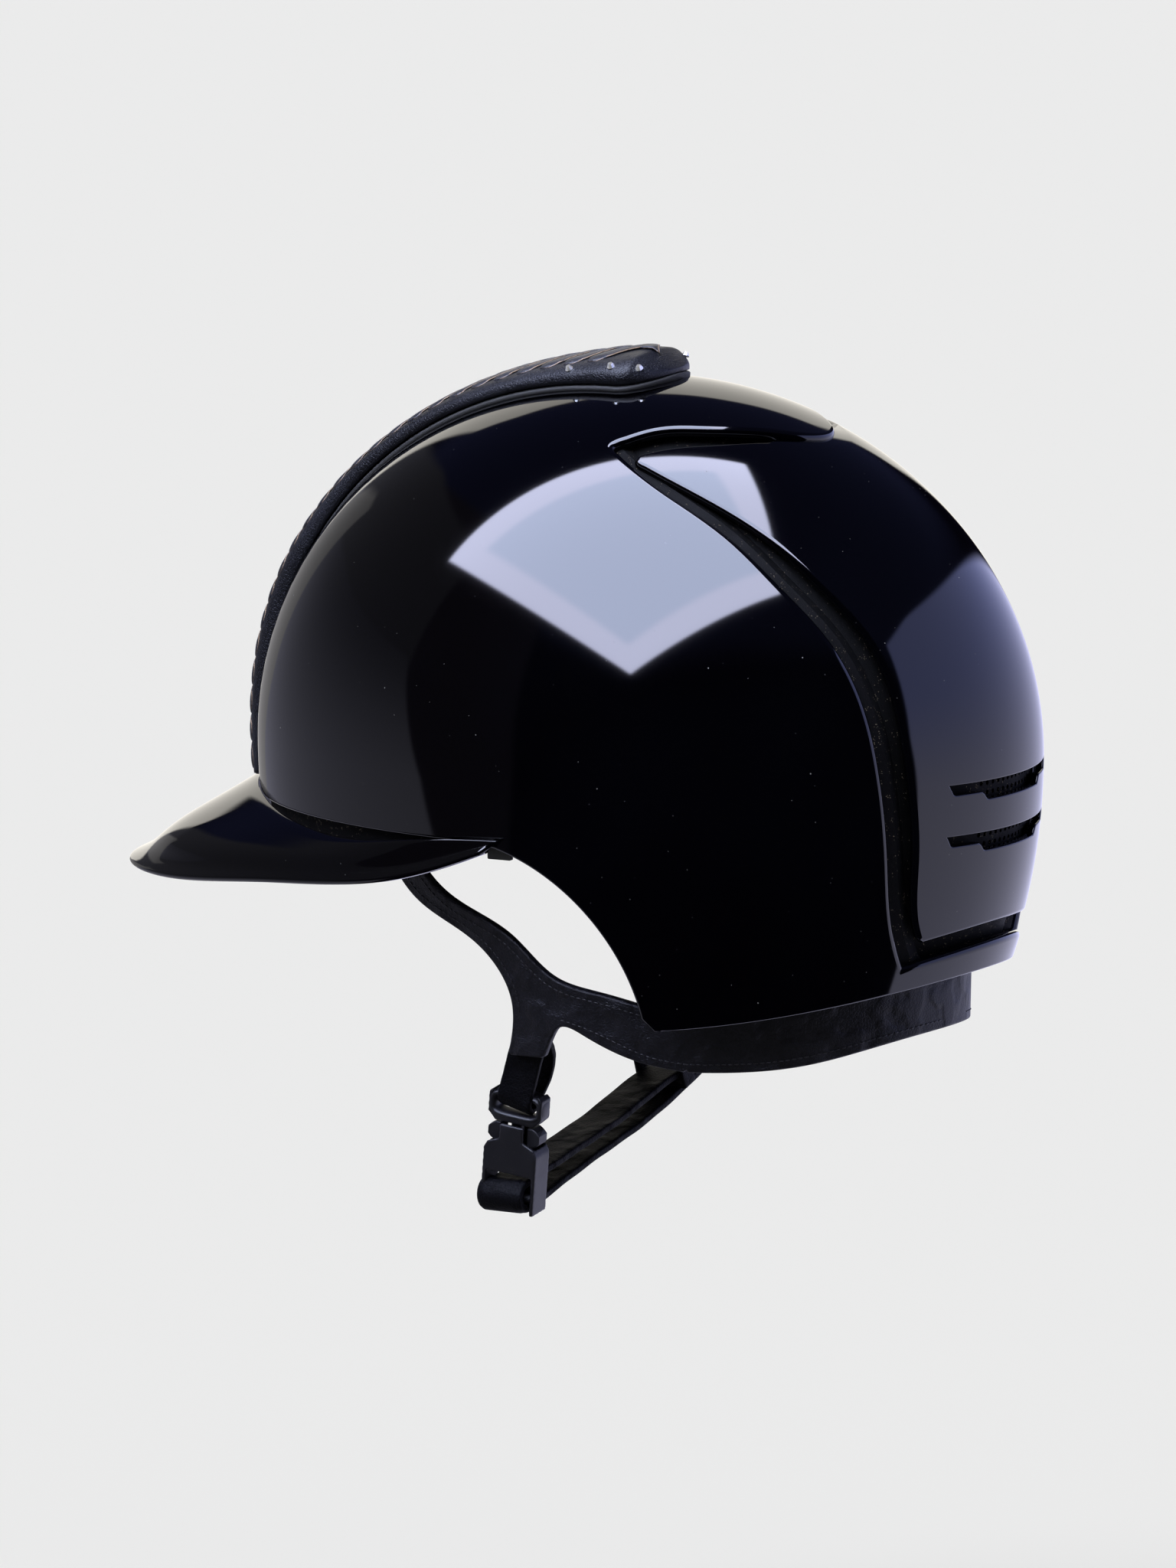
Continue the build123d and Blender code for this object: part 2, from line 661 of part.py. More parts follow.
def bar(radius, width, height, forward=0.0):
    """Round bar across the buckle."""
    return Pos(0, -forward, height) * Rot(0, 90, 0) * Cylinder(radius, width)


def buckle_plug():
    """Upper half: strap ring with its bar, base and centre tongue."""
    half = BUCKLE_WIDTH / 2
    outer = front_prism([(-half, PLUG_BASE_HIGH), (-half * PLUG_WAIST_SHARE, PLUG_BASE_LOW),
                         (half * PLUG_WAIST_SHARE, PLUG_BASE_LOW), (half, PLUG_BASE_HIGH),
                         (half, PLUG_TOP - BUCKLE_ROUND * 2), (half * PLUG_WAIST_SHARE, PLUG_TOP),
                         (-half * PLUG_WAIST_SHARE, PLUG_TOP), (-half, PLUG_TOP - BUCKLE_ROUND * 2)], PLUG_DEPTH)
    opening = block(-half + PLUG_POST, half - PLUG_POST, PLUG_DEPTH * 2, PLUG_BASE_HIGH, PLUG_TOP * 2)
    ring = outer - opening
    ring = ring + bar(LEG_BAR_RADIUS, BUCKLE_WIDTH - PLUG_POST, LEG_BAR_HEIGHT)
    tongue = block(-TONGUE_WIDTH / 2, TONGUE_WIDTH / 2, SOCKET_WALL * 2, TONGUE_LOW, PLUG_BASE_LOW)
    return buckle_frame() * (ring + tongue)


def prong(side):
    """Sprung side arm with its thumb lobe and latch hook."""
    inner = PRONG_INNER
    outer = inner + PRONG_ARM
    lobe = inner + LOBE_WIDTH
    points = [(inner, PRONG_TOP), (inner, PRONG_TIP), (outer, PRONG_TIP), (outer + HOOK, PRONG_TIP + HOOK),
              (outer + HOOK, PRONG_TIP + HOOK_LENGTH), (outer, PRONG_TIP + HOOK_LENGTH),
              (outer, LOBE_LOW - BUCKLE_ROUND / 2), (lobe - BUCKLE_ROUND, LOBE_LOW), (lobe, LOBE_LOW + BUCKLE_ROUND),
              (lobe, LOBE_HIGH - BUCKLE_ROUND), (lobe - BUCKLE_ROUND, LOBE_HIGH), (outer, PRONG_TOP)]
    return buckle_frame() * front_prism([(side * x, z) for x, z in points], PRONG_DEPTH)


def buckle_socket():
    """Lower half: hollow body, waisted neck, cheeks and the strap bar."""
    half = BUCKLE_WIDTH / 2
    neck = NECK_WIDTH / 2
    shoulder = SOCKET_TOP - BUCKLE_ROUND * 2
    profile = [(-half, SOCKET_FLOOR), (-half, shoulder), (-half + BUCKLE_ROUND, SOCKET_TOP), (-neck, NECK_ROOT),
               (-neck, NECK_TOP), (neck, NECK_TOP), (neck, NECK_ROOT), (half - BUCKLE_ROUND, SOCKET_TOP),
               (half, shoulder), (half, SOCKET_FLOOR)]
    outer = front_prism(profile, BUCKLE_DEPTH)
    cavity_half = half - SOCKET_WALL
    cavity = block(-cavity_half, cavity_half, BUCKLE_DEPTH - SOCKET_WALL * 2, SOCKET_FLOOR + SOCKET_WALL, NECK_TOP * 2)
    windows = block(neck, half * 2, BUCKLE_DEPTH * 2, SOCKET_TOP, NECK_TOP * 2)
    windows = windows + mirror(windows, about=Plane.YZ)
    body = outer - cavity
    latch = block(PRONG_INNER + PRONG_ARM + FIT / 2, half - SOCKET_WALL / 2, BUCKLE_DEPTH - SOCKET_WALL,
                  PRONG_TIP + HOOK_LENGTH + FIT, SOCKET_TOP - BUCKLE_ROUND * 2)
    body = body + latch + mirror(latch, about=Plane.YZ)
    for side in (-1, 1):
        cheek = block(-SOCKET_WALL / 2, SOCKET_WALL / 2, BUCKLE_DEPTH, CHEEK_LOW, SOCKET_FLOOR)
        body = body + Pos(side * (half - SOCKET_WALL / 2), 0, 0) * cheek
    return buckle_frame() * (body + bar(STRAP_BAR_RADIUS, BUCKLE_WIDTH - SOCKET_WALL, -STRAP_BAR_DROP,
                                        STRAP_BAR_FORWARD))


def leg_frame():
    """Place and lean of the left leg strap, with its origin on the plug's bar."""
    centre = (buckle_frame() * Pos(0, 0, LEG_BAR_HEIGHT)).position
    return Location(centre) * Rot(0, LEG_LEAN_FORWARD, 0) * Rot(LEG_LEAN_IN, 0, 0)


def ribbon(curves, thickness, width):
    """Flat strap: a run of curves in depth and height, given a thickness and a width."""
    places = [(curve, step / RIBBON_STEPS) for curve in curves for step in range(RIBBON_STEPS)]
    places.append((curves[-1], UNIT))
    left, right = [], []
    for curve, share in places:
        point, run = curve.position_at(share), curve.tangent_at(share)
        shift = Vector(-run.Y, run.X) * (thickness / 2)
        left.append(point + shift)
        right.append(point - shift)
    edges = [Spline(*left), Line(left[-1], right[-1]), Spline(*reversed(right)), Line(right[0], left[0])]
    return extrude(Plane.YZ * make_face(Curve() + edges), amount=width / 2, both=True)


def chin_leg_left():
    """Left leg strap, looped round the plug's bar and sewn to itself at the back."""
    radius = LEG_LOOP_RADIUS + LEG_THICKNESS / 2
    front = Line((-radius, LEG_LENGTH), (-radius, 0))
    loop = ThreePointArc((-radius, 0), (0, -radius), (radius, 0))
    back = Spline((radius, 0), (radius + LEG_BULGE * BULGE_SHARE, LEG_LENGTH / 3),
                  (-radius + LEG_THICKNESS + FIT, LEG_LENGTH - LEG_THICKNESS), tangents=((0, 1), (-1, 1)))
    return leg_frame() * ribbon([front, loop, back], LEG_THICKNESS, LEG_WIDTH)


def chin_leg_right():
    """Right leg strap, which carries the chin strap's far end."""
    radius = LEG_LOOP_RADIUS + LEG_THICKNESS / 2
    frame = leg_frame()
    strap = Pos(0, LEG_THICKNESS * 2 - radius, RIGHT_LEG_LOW + (LEG_LENGTH - RIGHT_LEG_LOW) / 2) * Box(
        LEG_WIDTH, LEG_THICKNESS, LEG_LENGTH - RIGHT_LEG_LOW)
    return mirror(frame * strap, about=Plane.XZ)


def chin_frame():
    """Place of the chin strap: its paths lie in depth and height across the chin."""
    centre = (buckle_frame() * Pos(0, -STRAP_BAR_FORWARD, -STRAP_BAR_DROP)).position
    return Location((centre.X, centre.Y, centre.Z)) * Rot(0, 0, -CHIN_TURN)


def chin_strap():
    """Chin strap: across the chin, round the socket's bar and back under itself."""
    radius = CHIN_LOOP_RADIUS
    centre = chin_frame().position
    run = [(y - centre.Y, z - centre.Z) for y, z in front_points(CHIN_RUN_SHARES)]
    tail = [(y - centre.Y, z - centre.Z) for y, z in front_points(CHIN_TAIL_SHARES)]
    slope = math.radians(CHIN_SLOPE)
    away = Vector(math.cos(slope), math.sin(slope)) * radius
    over = Vector(-away.Y, away.X)
    across = Spline(*run, over + away, over)
    loop = ThreePointArc(over, -away, -over)
    end = Spline(-over, away - over, *tail)
    return chin_frame() * ribbon([across, loop, end], CHIN_THICKNESS, CHIN_WIDTH)


def strap_keeper():
    """Sewn loop that holds the strap's tail against its run."""
    centre = chin_frame().position
    (low_y, low_z), (high_y, high_z) = front_points(CHIN_TAIL_SHARES)[-2:]
    run_y, run_z = front_points(CHIN_RUN_SHARES)[-2]
    slope = math.atan2(high_z - low_z, high_y - low_y)
    gap = run_z - low_z
    height = gap + CHIN_THICKNESS + (KEEPER_WALL + KEEPER_SPACE) * 2
    outer = Box(CHIN_WIDTH + (KEEPER_WALL + KEEPER_SPACE) * 2, KEEPER_LENGTH, height)
    hole = Box(CHIN_WIDTH + KEEPER_SPACE * 2, KEEPER_LENGTH * 2, height - KEEPER_WALL * 2)
    spot = Pos(0, run_y - centre.Y, run_z - centre.Z - gap / 2) * Rot(math.degrees(slope), 0, 0)
    return chin_frame() * (spot * (outer - hole))


PIECES = {
    "outer_shell": outer_shell,
    "rear_panel": vent_panel,
    "vent_tray": vent_tray,
    "rear_grille": rear_grille,
    "peak": peak,
    "peak_lining": peak_lining,
    "peak_clips": peak_clips,
    "intake_mesh": intake_mesh,
    "crest_base": crest_base,
    "crest_cover": crest_cover,
    "crest_braid": crest_braid,
    "crest_crystals": crest_crystals,
    "shock_liner": shock_liner,
    "crown_liner": crown_liner,
    "head_band": head_band,
    "crown_pad": crown_pad,
    "nape_pad": nape_pad,
    "liner_snaps": liner_snaps,
    "harness_left": lambda: harness(-1),
    "harness_right": lambda: harness(1),
    "nape_band": nape_band,
    "nape_eyelets": nape_eyelets,
    "harness_anchors": harness_anchors,
    "chin_leg_left": chin_leg_left,
    "chin_leg_right": chin_leg_right,
    "buckle_plug": buckle_plug,
    "prong_front": lambda: prong(-1),
    "prong_rear": lambda: prong(1),
    "buckle_socket": buckle_socket,
    "chin_strap": chin_strap,
    "strap_keeper": strap_keeper,
}

if __name__ == "__main__":
    os.makedirs("parts", exist_ok=True)
    for name, make_piece in PIECES.items():
        piece = make_piece()
        print(name, len(piece.solids()), round(piece.volume), flush=True)
        export_step(piece, f"parts/{name}.step")
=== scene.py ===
"""Polo riding helmet in polished black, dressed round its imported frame.

Meshes are modelled in millimetres in the frame's axes (front -X, wearer's left -Y, up +Z)
and brought to metres when a piece is finished. The outlines repeat the values of the part.
"""
import logging
import math
from collections.abc import Callable, Sequence
from dataclasses import dataclass, field
from enum import Enum

import bmesh
import bpy
import numpy as np
from mathutils import Matrix, Vector


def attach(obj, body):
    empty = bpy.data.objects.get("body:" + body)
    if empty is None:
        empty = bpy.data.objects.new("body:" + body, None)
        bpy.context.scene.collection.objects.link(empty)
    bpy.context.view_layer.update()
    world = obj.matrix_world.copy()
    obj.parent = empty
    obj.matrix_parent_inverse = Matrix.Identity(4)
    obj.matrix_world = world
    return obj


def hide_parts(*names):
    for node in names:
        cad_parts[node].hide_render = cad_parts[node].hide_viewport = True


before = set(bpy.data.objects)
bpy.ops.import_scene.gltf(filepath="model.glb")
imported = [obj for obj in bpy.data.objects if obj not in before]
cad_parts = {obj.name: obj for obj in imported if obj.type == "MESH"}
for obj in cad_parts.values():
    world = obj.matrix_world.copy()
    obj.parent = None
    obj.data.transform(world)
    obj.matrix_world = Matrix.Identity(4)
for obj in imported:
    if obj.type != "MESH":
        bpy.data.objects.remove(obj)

LOG = logging.getLogger("helmet")
MM = 0.001
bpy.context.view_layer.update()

HALF_LENGTH = 142.3
HALF_WIDTH = 110.0
CROWN = 170.0
EQUATOR = 0.246 * CROWN
UPPER_HEIGHT = CROWN - EQUATOR
LOWER_HEIGHT = 1.04 * CROWN
REACH = 200.0

Points = list[tuple[float, float]]


# Shader maths


class Graph:
    """A node tree with short ways to add nodes and to link them."""

    def __init__(self, tree: bpy.types.NodeTree) -> None:
        """Empties the tree.

        Args:
            tree: The node tree of a material, a world or a light.
        """
        self.tree = tree
        tree.nodes.clear()

    def node(self, kind: str, settings: dict | None = None, **values: object) -> bpy.types.Node:
        """Adds one node.

        Args:
            kind: The node's type.
            settings: Attributes that are set first.
            values: Values or links of the sockets; an underscore stands for a space, and
                input_N is the socket at place N.

        Returns:
            The new node.
        """
        made = self.tree.nodes.new(kind)
        for name, value in (settings or {}).items():
            setattr(made, name, value)
        for name, value in values.items():
            key = int(name.removeprefix("input_")) if name.startswith("input_") else name.replace("_", " ")
            socket = made.inputs[key]
            if isinstance(value, Val):
                value = value.socket
            if isinstance(value, bpy.types.NodeSocket):
                self.tree.links.new(value, socket)
            else:
                socket.default_value = value
        return made

    def value(self, kind: str, output: str | int, settings: dict | None = None, **values: object) -> "Val":
        """Adds one node and gives one of its outputs.

        Returns:
            The wrapped output socket.
        """
        return Val(self, self.node(kind, settings, **values).outputs[output])

    def math(self, operation: str, *terms: object) -> "Val":
        """Adds a Math node.

        Returns:
            The wrapped result.
        """
        inputs = {f"input_{place}": term for place, term in enumerate(terms)}
        return self.value("ShaderNodeMath", 0, {"operation": operation}, **inputs)

    def mix(self, share: object, first: object, second: object) -> "Val":
        """Mixes two colours.

        Returns:
            The wrapped colour.
        """
        settings = {"data_type": "RGBA"}
        return self.value("ShaderNodeMix", 2, settings, input_0=share, input_6=first, input_7=second)

    def place(self) -> "Val":
        """The place on the object, in metres."""
        return self.value("ShaderNodeTexCoord", "Object")

    def noise(self, scale: float, detail: float = 2.0) -> "Val":
        """Noise from 0 to 1 at a scale per metre."""
        return self.value("ShaderNodeTexNoise", 0, Vector=self.place(), Scale=scale, Detail=detail)

    def cells(self, scale: float, feature: str = "F1", output: str = "Distance") -> "Val":
        """Distances or colours of a cell pattern at a scale per metre."""
        return self.value("ShaderNodeTexVoronoi", output, {"feature": feature}, Vector=self.place(),
                          Scale=scale)

    def bump(self, height: object, distance: float, strength: float = 1.0, normal: object = None) -> "Val":
        """Turns a height into a normal."""
        values = {"Strength": strength, "Distance": distance, "Height": height}
        if normal is not None:
            values["Normal"] = normal
        return self.value("ShaderNodeBump", 0, **values)


@dataclass(frozen=True)
class Val:
    """A socket that can stand in sums."""

    graph: Graph
    socket: bpy.types.NodeSocket

    def __add__(self, other: object) -> "Val":
        """Sum."""
        return self.graph.math("ADD", self, other)

    __radd__ = __add__

    def __mul__(self, other: object) -> "Val":
        """Product."""
        return self.graph.math("MULTIPLY", self, other)

    __rmul__ = __mul__

    def __sub__(self, other: object) -> "Val":
        """Difference."""
        return self.graph.math("SUBTRACT", self, other)

    def __rsub__(self, other: object) -> "Val":
        """Difference from a number."""
        return self.graph.math("SUBTRACT", other, self)

    def ramp(self, low: float, high: float) -> "Val":
        """Rises smoothly from 0 at low to 1 at high."""
        return self.graph.value("ShaderNodeMapRange", 0, {"interpolation_type": "SMOOTHSTEP"},
                                Value=self, From_Min=low, From_Max=high)

    def below(self, limit: float) -> "Val":
        """1 under the limit, 0 over it."""
        return self.graph.math("LESS_THAN", self, limit)


# Finishes


Colour = tuple[float, float, float, float]


def grey(level: float, blue: float = 1.0) -> Colour:
    """A grey with a stronger or weaker blue part."""
    return (level, level, level * blue, 1.0)


def paler(colour: Colour, times: float) -> Colour:
    """The colour with its three parts raised."""
    return (*(min(1.0, part * times) for part in colour[:3]), 1.0)


@dataclass(frozen=True)
class Finish:
    """A named finish that writes its own material."""

    name: str
    base: Colour

    def surface(self, graph: Graph) -> dict[str, object]:
        """The shader's socket values and links."""
        raise NotImplementedError

    def make(self) -> bpy.types.Material:
        """Writes the material once and gives it.

        Returns:
            The material.
        """
        found = bpy.data.materials.get(self.name)
        if found:
            return found
        material = bpy.data.materials.new(self.name)
        material.use_nodes = True
        graph = Graph(material.node_tree)
        values = self.surface(graph)
        shader = graph.node("ShaderNodeBsdfPrincipled")
        for name, value in values.items():
            if isinstance(value, Val):
                graph.tree.links.new(value.socket, shader.inputs[name])
            else:
                shader.inputs[name].default_value = value
        graph.node("ShaderNodeOutputMaterial", Surface=shader.outputs[0])
        return material


@dataclass(frozen=True)
class PolishedShell(Finish):
    """Polished black lacquer with a little dust."""

    rough: float = 0.055
    dust_rough: float = 0.4
    cast: Colour = (0.0008, 0.0009, 0.0020, 1.0)
    cast_scale: float = 9.0
    speck: Colour = (0.22, 0.23, 0.25, 1.0)
    speck_scale: float = 150.0
    speck_reach: float = 0.034
    speck_share: float = 0.20
    fine_scale: float = 390.0
    fine_reach: float = 0.045
    fine_share: float = 0.16
    drift_scale: float = 900.0

    @staticmethod
    def specks(graph: Graph, scale: float, reach: float, share: float, channel: int) -> Val:
        """Round specks in a share of a pattern's cells."""
        picked = graph.value("ShaderNodeSeparateColor", channel, Color=graph.cells(scale, output="Color"))
        return graph.cells(scale).below(reach) * picked.below(share)

    def surface(self, graph: Graph) -> dict[str, object]:
        """Lacquer whose dust specks are dull and paler."""
        large = self.specks(graph, self.speck_scale, self.speck_reach, self.speck_share, 0)
        small = self.specks(graph, self.fine_scale, self.fine_reach, self.fine_share, 1)
        dust = graph.math("MAXIMUM", large, small) * graph.noise(self.drift_scale).ramp(0.25, 0.55)
        tinted = graph.mix(graph.noise(self.cast_scale).ramp(0.35, 0.75), self.base, self.cast)
        return {"Base Color": graph.mix(dust, tinted, self.speck),
                "Roughness": dust * self.dust_rough + self.rough,
                "IOR": 1.5, "Coat Weight": 0.0, "Specular IOR Level": 0.5}


@dataclass(frozen=True)
class Leather(Finish):
    """Soft black leather with a pebbled grain and creases."""

    rough: float = 0.46
    grain: float = 1500.0
    depth: float = 0.00012
    crease: float = 0.0
    shine: float = 0.3
    sag_scale: float = 60.0
    sag_height: float = 0.0011
    fold_scale: float = 95.0
    wear_scale: float = 35.0

    def surface(self, graph: Graph) -> dict[str, object]:
        """Grain cells, finer pores and, where asked for, long creases."""
        cells = graph.cells(self.grain, "SMOOTH_F1")
        edge = graph.cells(self.grain * 0.55, "DISTANCE_TO_EDGE").ramp(0.0, 0.16)
        pores = graph.noise(self.grain * 2.2, 3.0)
        height = edge * 0.55 + cells * 0.5 + pores * 0.25
        normal = graph.bump(height, self.depth, 0.9)
        normal = graph.bump(graph.noise(self.sag_scale, 4.0), self.sag_height, 0.5, normal)
        if self.crease:
            folds = graph.noise(self.fold_scale, 1.5).ramp(0.42, 0.62)
            normal = graph.bump(folds, self.crease, 0.6, normal)
        worn = graph.noise(self.wear_scale, 5.0).ramp(0.45, 0.8)
        base = graph.mix(worn * 0.6, self.base, paler(self.base, 1.9))
        base = graph.mix((1.0 - edge) * 0.5, base, grey(0.003, 1.3))
        return {"Base Color": base, "Roughness": worn * 0.1 + (pores * 0.12 + self.rough - 0.06), "IOR": 1.47,
                "Specular IOR Level": self.shine, "Normal": normal}


@dataclass(frozen=True)
class MouldedPlastic(Finish):
    """Moulded plastic with a fine texture and light dust."""

    rough: float = 0.5
    depth: float = 0.00006
    dust: float = 0.0
    shine: float = 0.4

    def surface(self, graph: Graph) -> dict[str, object]:
        """Fine texture, soft wear and dust flecks."""
        texture = graph.noise(2600.0, 3.0)
        normal = graph.bump(texture, self.depth, 0.8)
        wear = graph.noise(80.0, 4.0).ramp(0.4, 0.8)
        base = graph.mix(wear * 0.4, self.base, paler(self.base, 1.6))
        if self.dust:
            flecks = graph.cells(1300.0).below(0.22) * graph.noise(420.0, 2.0).ramp(0.52, 0.62)
            base = graph.mix(flecks * self.dust, base, (0.30, 0.26, 0.21, 1.0))
        return {"Base Color": base, "Roughness": wear * 0.1 + self.rough, "Specular IOR Level": self.shine,
                "Normal": normal}


@dataclass(frozen=True)
class BeadFoam(Finish):
    """Black expanded foam with its beads."""

    def surface(self, graph: Graph) -> dict[str, object]:
        """Bead cells with darker joints."""
        edge = graph.cells(330.0, "DISTANCE_TO_EDGE").ramp(0.0, 0.14)
        normal = graph.bump(edge + graph.noise(1500.0) * 0.2, 0.0004, 0.8)
        base = graph.mix(edge, grey(0.006), self.base)
        return {"Base Color": base, "Roughness": 0.72, "Normal": normal}


@dataclass(frozen=True)
class LiningCloth(Finish):
    """Knitted lining cloth."""

    pitch: float = 0.0011

    def surface(self, graph: Graph) -> dict[str, object]:
        """Two crossing rows of threads."""
        scale = 1.0 / self.pitch / 6.283
        rows = [graph.value("ShaderNodeTexWave", 0, {"bands_direction": way}, Vector=graph.place(),
                            Scale=scale * 3.14,
                            Distortion=1.2, Detail=1.0) for way in ("X", "Z")]
        weave = graph.math("MAXIMUM", rows[0], rows[1])
        normal = graph.bump(weave, 0.0003, 0.7)
        base = graph.mix(weave, grey(0.006, 1.2), self.base)
        return {"Base Color": base, "Roughness": 0.85, "Sheen Weight": 0.25, "Sheen Roughness": 0.5,
                "Normal": normal}


@dataclass(frozen=True)
class DarkMetal(Finish):
    """Blackened metal with fine scratches."""

    def surface(self, graph: Graph) -> dict[str, object]:
        """Scratches in roughness and a light wear."""
        scratch = graph.noise(1400.0, 4.0)
        wear = graph.noise(260.0, 3.0).ramp(0.5, 0.75)
        base = graph.mix(wear, self.base, grey(0.25))
        return {"Base Color": base, "Metallic": 1.0, "Roughness": scratch * 0.25 + 0.25,
                "Normal": graph.bump(scratch, 0.00004, 0.5)}


@dataclass(frozen=True)
class CutStone(Finish):
    """Clear cut stone with a bright foil back; its facet glints are painted into the colour."""

    def surface(self, graph: Graph) -> dict[str, object]:
        """Pale patches painted into the base colour as glints of the facets."""
        # painted highlight: a cell pattern mixes near-white into the stone's colour where facets would catch
        # light
        painted_glint = graph.cells(700.0, output="Distance").ramp(0.1, 0.6)
        return {"Base Color": graph.mix(painted_glint, self.base, grey(0.95)), "Metallic": 0.55, "Roughness": 0.12,
                "IOR": 1.7}


@dataclass(frozen=True)
class PlaitStrip(Finish):
    """Leather strip of a plait, with the raw cut edge showing as a thin pale line."""

    raw: Colour = (0.36, 0.27, 0.21, 1.0)

    def surface(self, graph: Graph) -> dict[str, object]:
        """Grain on the face and a pale line along one edge."""
        spread = graph.value("ShaderNodeUVMap", 0)
        across = graph.value("ShaderNodeSeparateXYZ", 1, Vector=spread)
        line = across.ramp(0.405, 0.425) * (1.0 - across.ramp(0.475, 0.495))
        broken = graph.noise(420.0, 3.0).ramp(0.30, 0.55)
        cells = graph.cells(1500.0, "SMOOTH_F1")
        normal = graph.bump(cells + graph.noise(3200.0) * 0.3, 0.00011, 0.9)
        base = graph.mix(line * broken, self.base, self.raw)
        return {"Base Color": base, "Roughness": cells * 0.12 + 0.40, "IOR": 1.47, "Normal": normal}


@dataclass(frozen=True)
class Thread(Finish):
    """Waxed black thread."""

    def surface(self, graph: Graph) -> dict[str, object]:
        """Twisted fibres."""
        twist = graph.noise(5200.0, 2.0)
        base = graph.mix(twist, self.base, paler(self.base, 2.4))
        return {"Base Color": base, "Roughness": 0.45, "Normal": graph.bump(twist, 0.00006, 0.8)}


GLOSS = PolishedShell("shell_lacquer", (0.0004, 0.0003, 0.0008, 1.0))
LEATHER = Leather("harness_leather", (0.0060, 0.0060, 0.0100, 1.0), crease=0.0010)
CREST_LEATHER = Leather("crest_leather", (0.006, 0.0065, 0.010, 1.0), rough=0.42, depth=0.00012)
STRAP_LEATHER = Leather("strap_leather", (0.0012, 0.0012, 0.0021, 1.0), rough=0.56, crease=0.0008, shine=0.08)
TRAY = MouldedPlastic("tray_plastic", (0.0010, 0.0010, 0.0011, 1.0), rough=0.66, depth=0.00012, dust=0.5,
                      shine=0.08)
TRIM = MouldedPlastic("trim_plastic", (0.006, 0.006, 0.008, 1.0), rough=0.34)
BUCKLE = MouldedPlastic("buckle_plastic", (0.0065, 0.0065, 0.0095, 1.0), rough=0.42, depth=0.00005, dust=0.06)
FOAM = BeadFoam("liner_foam", (0.016, 0.016, 0.018, 1.0))
LINING = LiningCloth("lining_cloth", (0.020, 0.020, 0.024, 1.0))
METAL = DarkMetal("dark_metal", (0.05, 0.05, 0.055, 1.0))
STONE = CutStone("crest_stone", (0.62, 0.66, 0.72, 1.0))
PLAIT = PlaitStrip("plait_leather", (0.010, 0.0105, 0.016, 1.0))
THREAD = Thread("seam_thread", (0.0055, 0.0055, 0.0075, 1.0))


# Curves and surfaces


def smooth_line(points: Sequence[Sequence[float]], count: int) -> np.ndarray:
    """Smooth line through points, with relaxed ends.

    Args:
        points: Points of two or three numbers.
        count: Number of points on the line.

    Returns:
        The line's points, evenly spread.
    """
    knots = np.array(points, float)
    if len(knots) == 2:
        return knots[0] + np.linspace(0, 1, count)[:, None] * (knots[1] - knots[0])
    at = np.concatenate([[0], np.cumsum(np.linalg.norm(np.diff(knots, axis=0), axis=1))])
    steps = np.diff(at)
    size = len(knots)
    system, wanted = np.eye(size), np.zeros_like(knots)
    for k in range(1, size - 1):
        system[k, k - 1:k + 2] = steps[k - 1], 2 * (steps[k - 1] + steps[k]), steps[k]
        wanted[k] = 6 * ((knots[k + 1] - knots[k]) / steps[k] - (knots[k] - knots[k - 1]) / steps[k - 1])
    bend = np.linalg.solve(system, wanted)
    fine = np.linspace(0, at[-1], count * 6)
    piece = np.clip(np.searchsorted(at, fine, side="right") - 1, 0, size - 2)
    step = steps[piece][:, None]
    right = ((fine - at[piece])[:, None]) / step
    left = 1 - right
    line = left * knots[piece] + right * knots[piece + 1] + step ** 2 / 6 * (
        (left ** 3 - left) * bend[piece] + (right ** 3 - right) * bend[piece + 1])
    return evenly(line, count)


def evenly(line: np.ndarray, count: int) -> np.ndarray:
    """Points evenly spread along a line.

    Returns:
        The new points.
    """
    run = np.concatenate([[0], np.cumsum(np.linalg.norm(np.diff(line, axis=0), axis=1))])
    want = np.linspace(0, run[-1], count)
    return np.stack([np.interp(want, run, line[:, axis]) for axis in range(line.shape[1])], axis=1)


def side(shares: Points) -> Points:
    """Side-view points in millimetres for shares of the half length and the crown."""
    return [(along * HALF_LENGTH, up * CROWN) for along, up in shares]


def slack(point: Sequence[float], way: Sequence[float]) -> float:
    """Side-view distance for one millimetre over the head shell.

    Args:
        point: Side-view point.
        way: Side-view unit direction square to an outline.

    Returns:
        The share, small where the shell faces along the direction.
    """
    x, z = point
    height = UPPER_HEIGHT if z >= EQUATOR else LOWER_HEIGHT
    room = 1 - (x / HALF_LENGTH) ** 2 - ((z - EQUATOR) / height) ** 2
    if room <= 0.0:
        return 0.4
    normal = Vector((x / HALF_LENGTH ** 2, -math.sqrt(room) / HALF_WIDTH,
                     (z - EQUATOR) / height ** 2)).normalized()
    facing = way[0] * normal.x + way[1] * normal.z
    return math.sqrt(max(0.0, 1 - facing * facing))


def shifted(points: Points, distance: float) -> Points:
    """Points of a smooth line moved over the shell to the left of its run."""
    line = smooth_line(points, 400)
    run = np.gradient(line, axis=0)
    run /= np.linalg.norm(run, axis=1)[:, None]
    moved = []
    for point in points:
        k = int(np.argmin(np.linalg.norm(line - np.array(point), axis=1)))
        way = (-run[k, 1], run[k, 0])
        step = distance * slack(point, way)
        moved.append((point[0] + step * way[0], point[1] + step * way[1]))
    return moved


class View(Enum):
    """The direction that an outline is drawn from."""

    SIDE = "side"
    REAR = "rear"


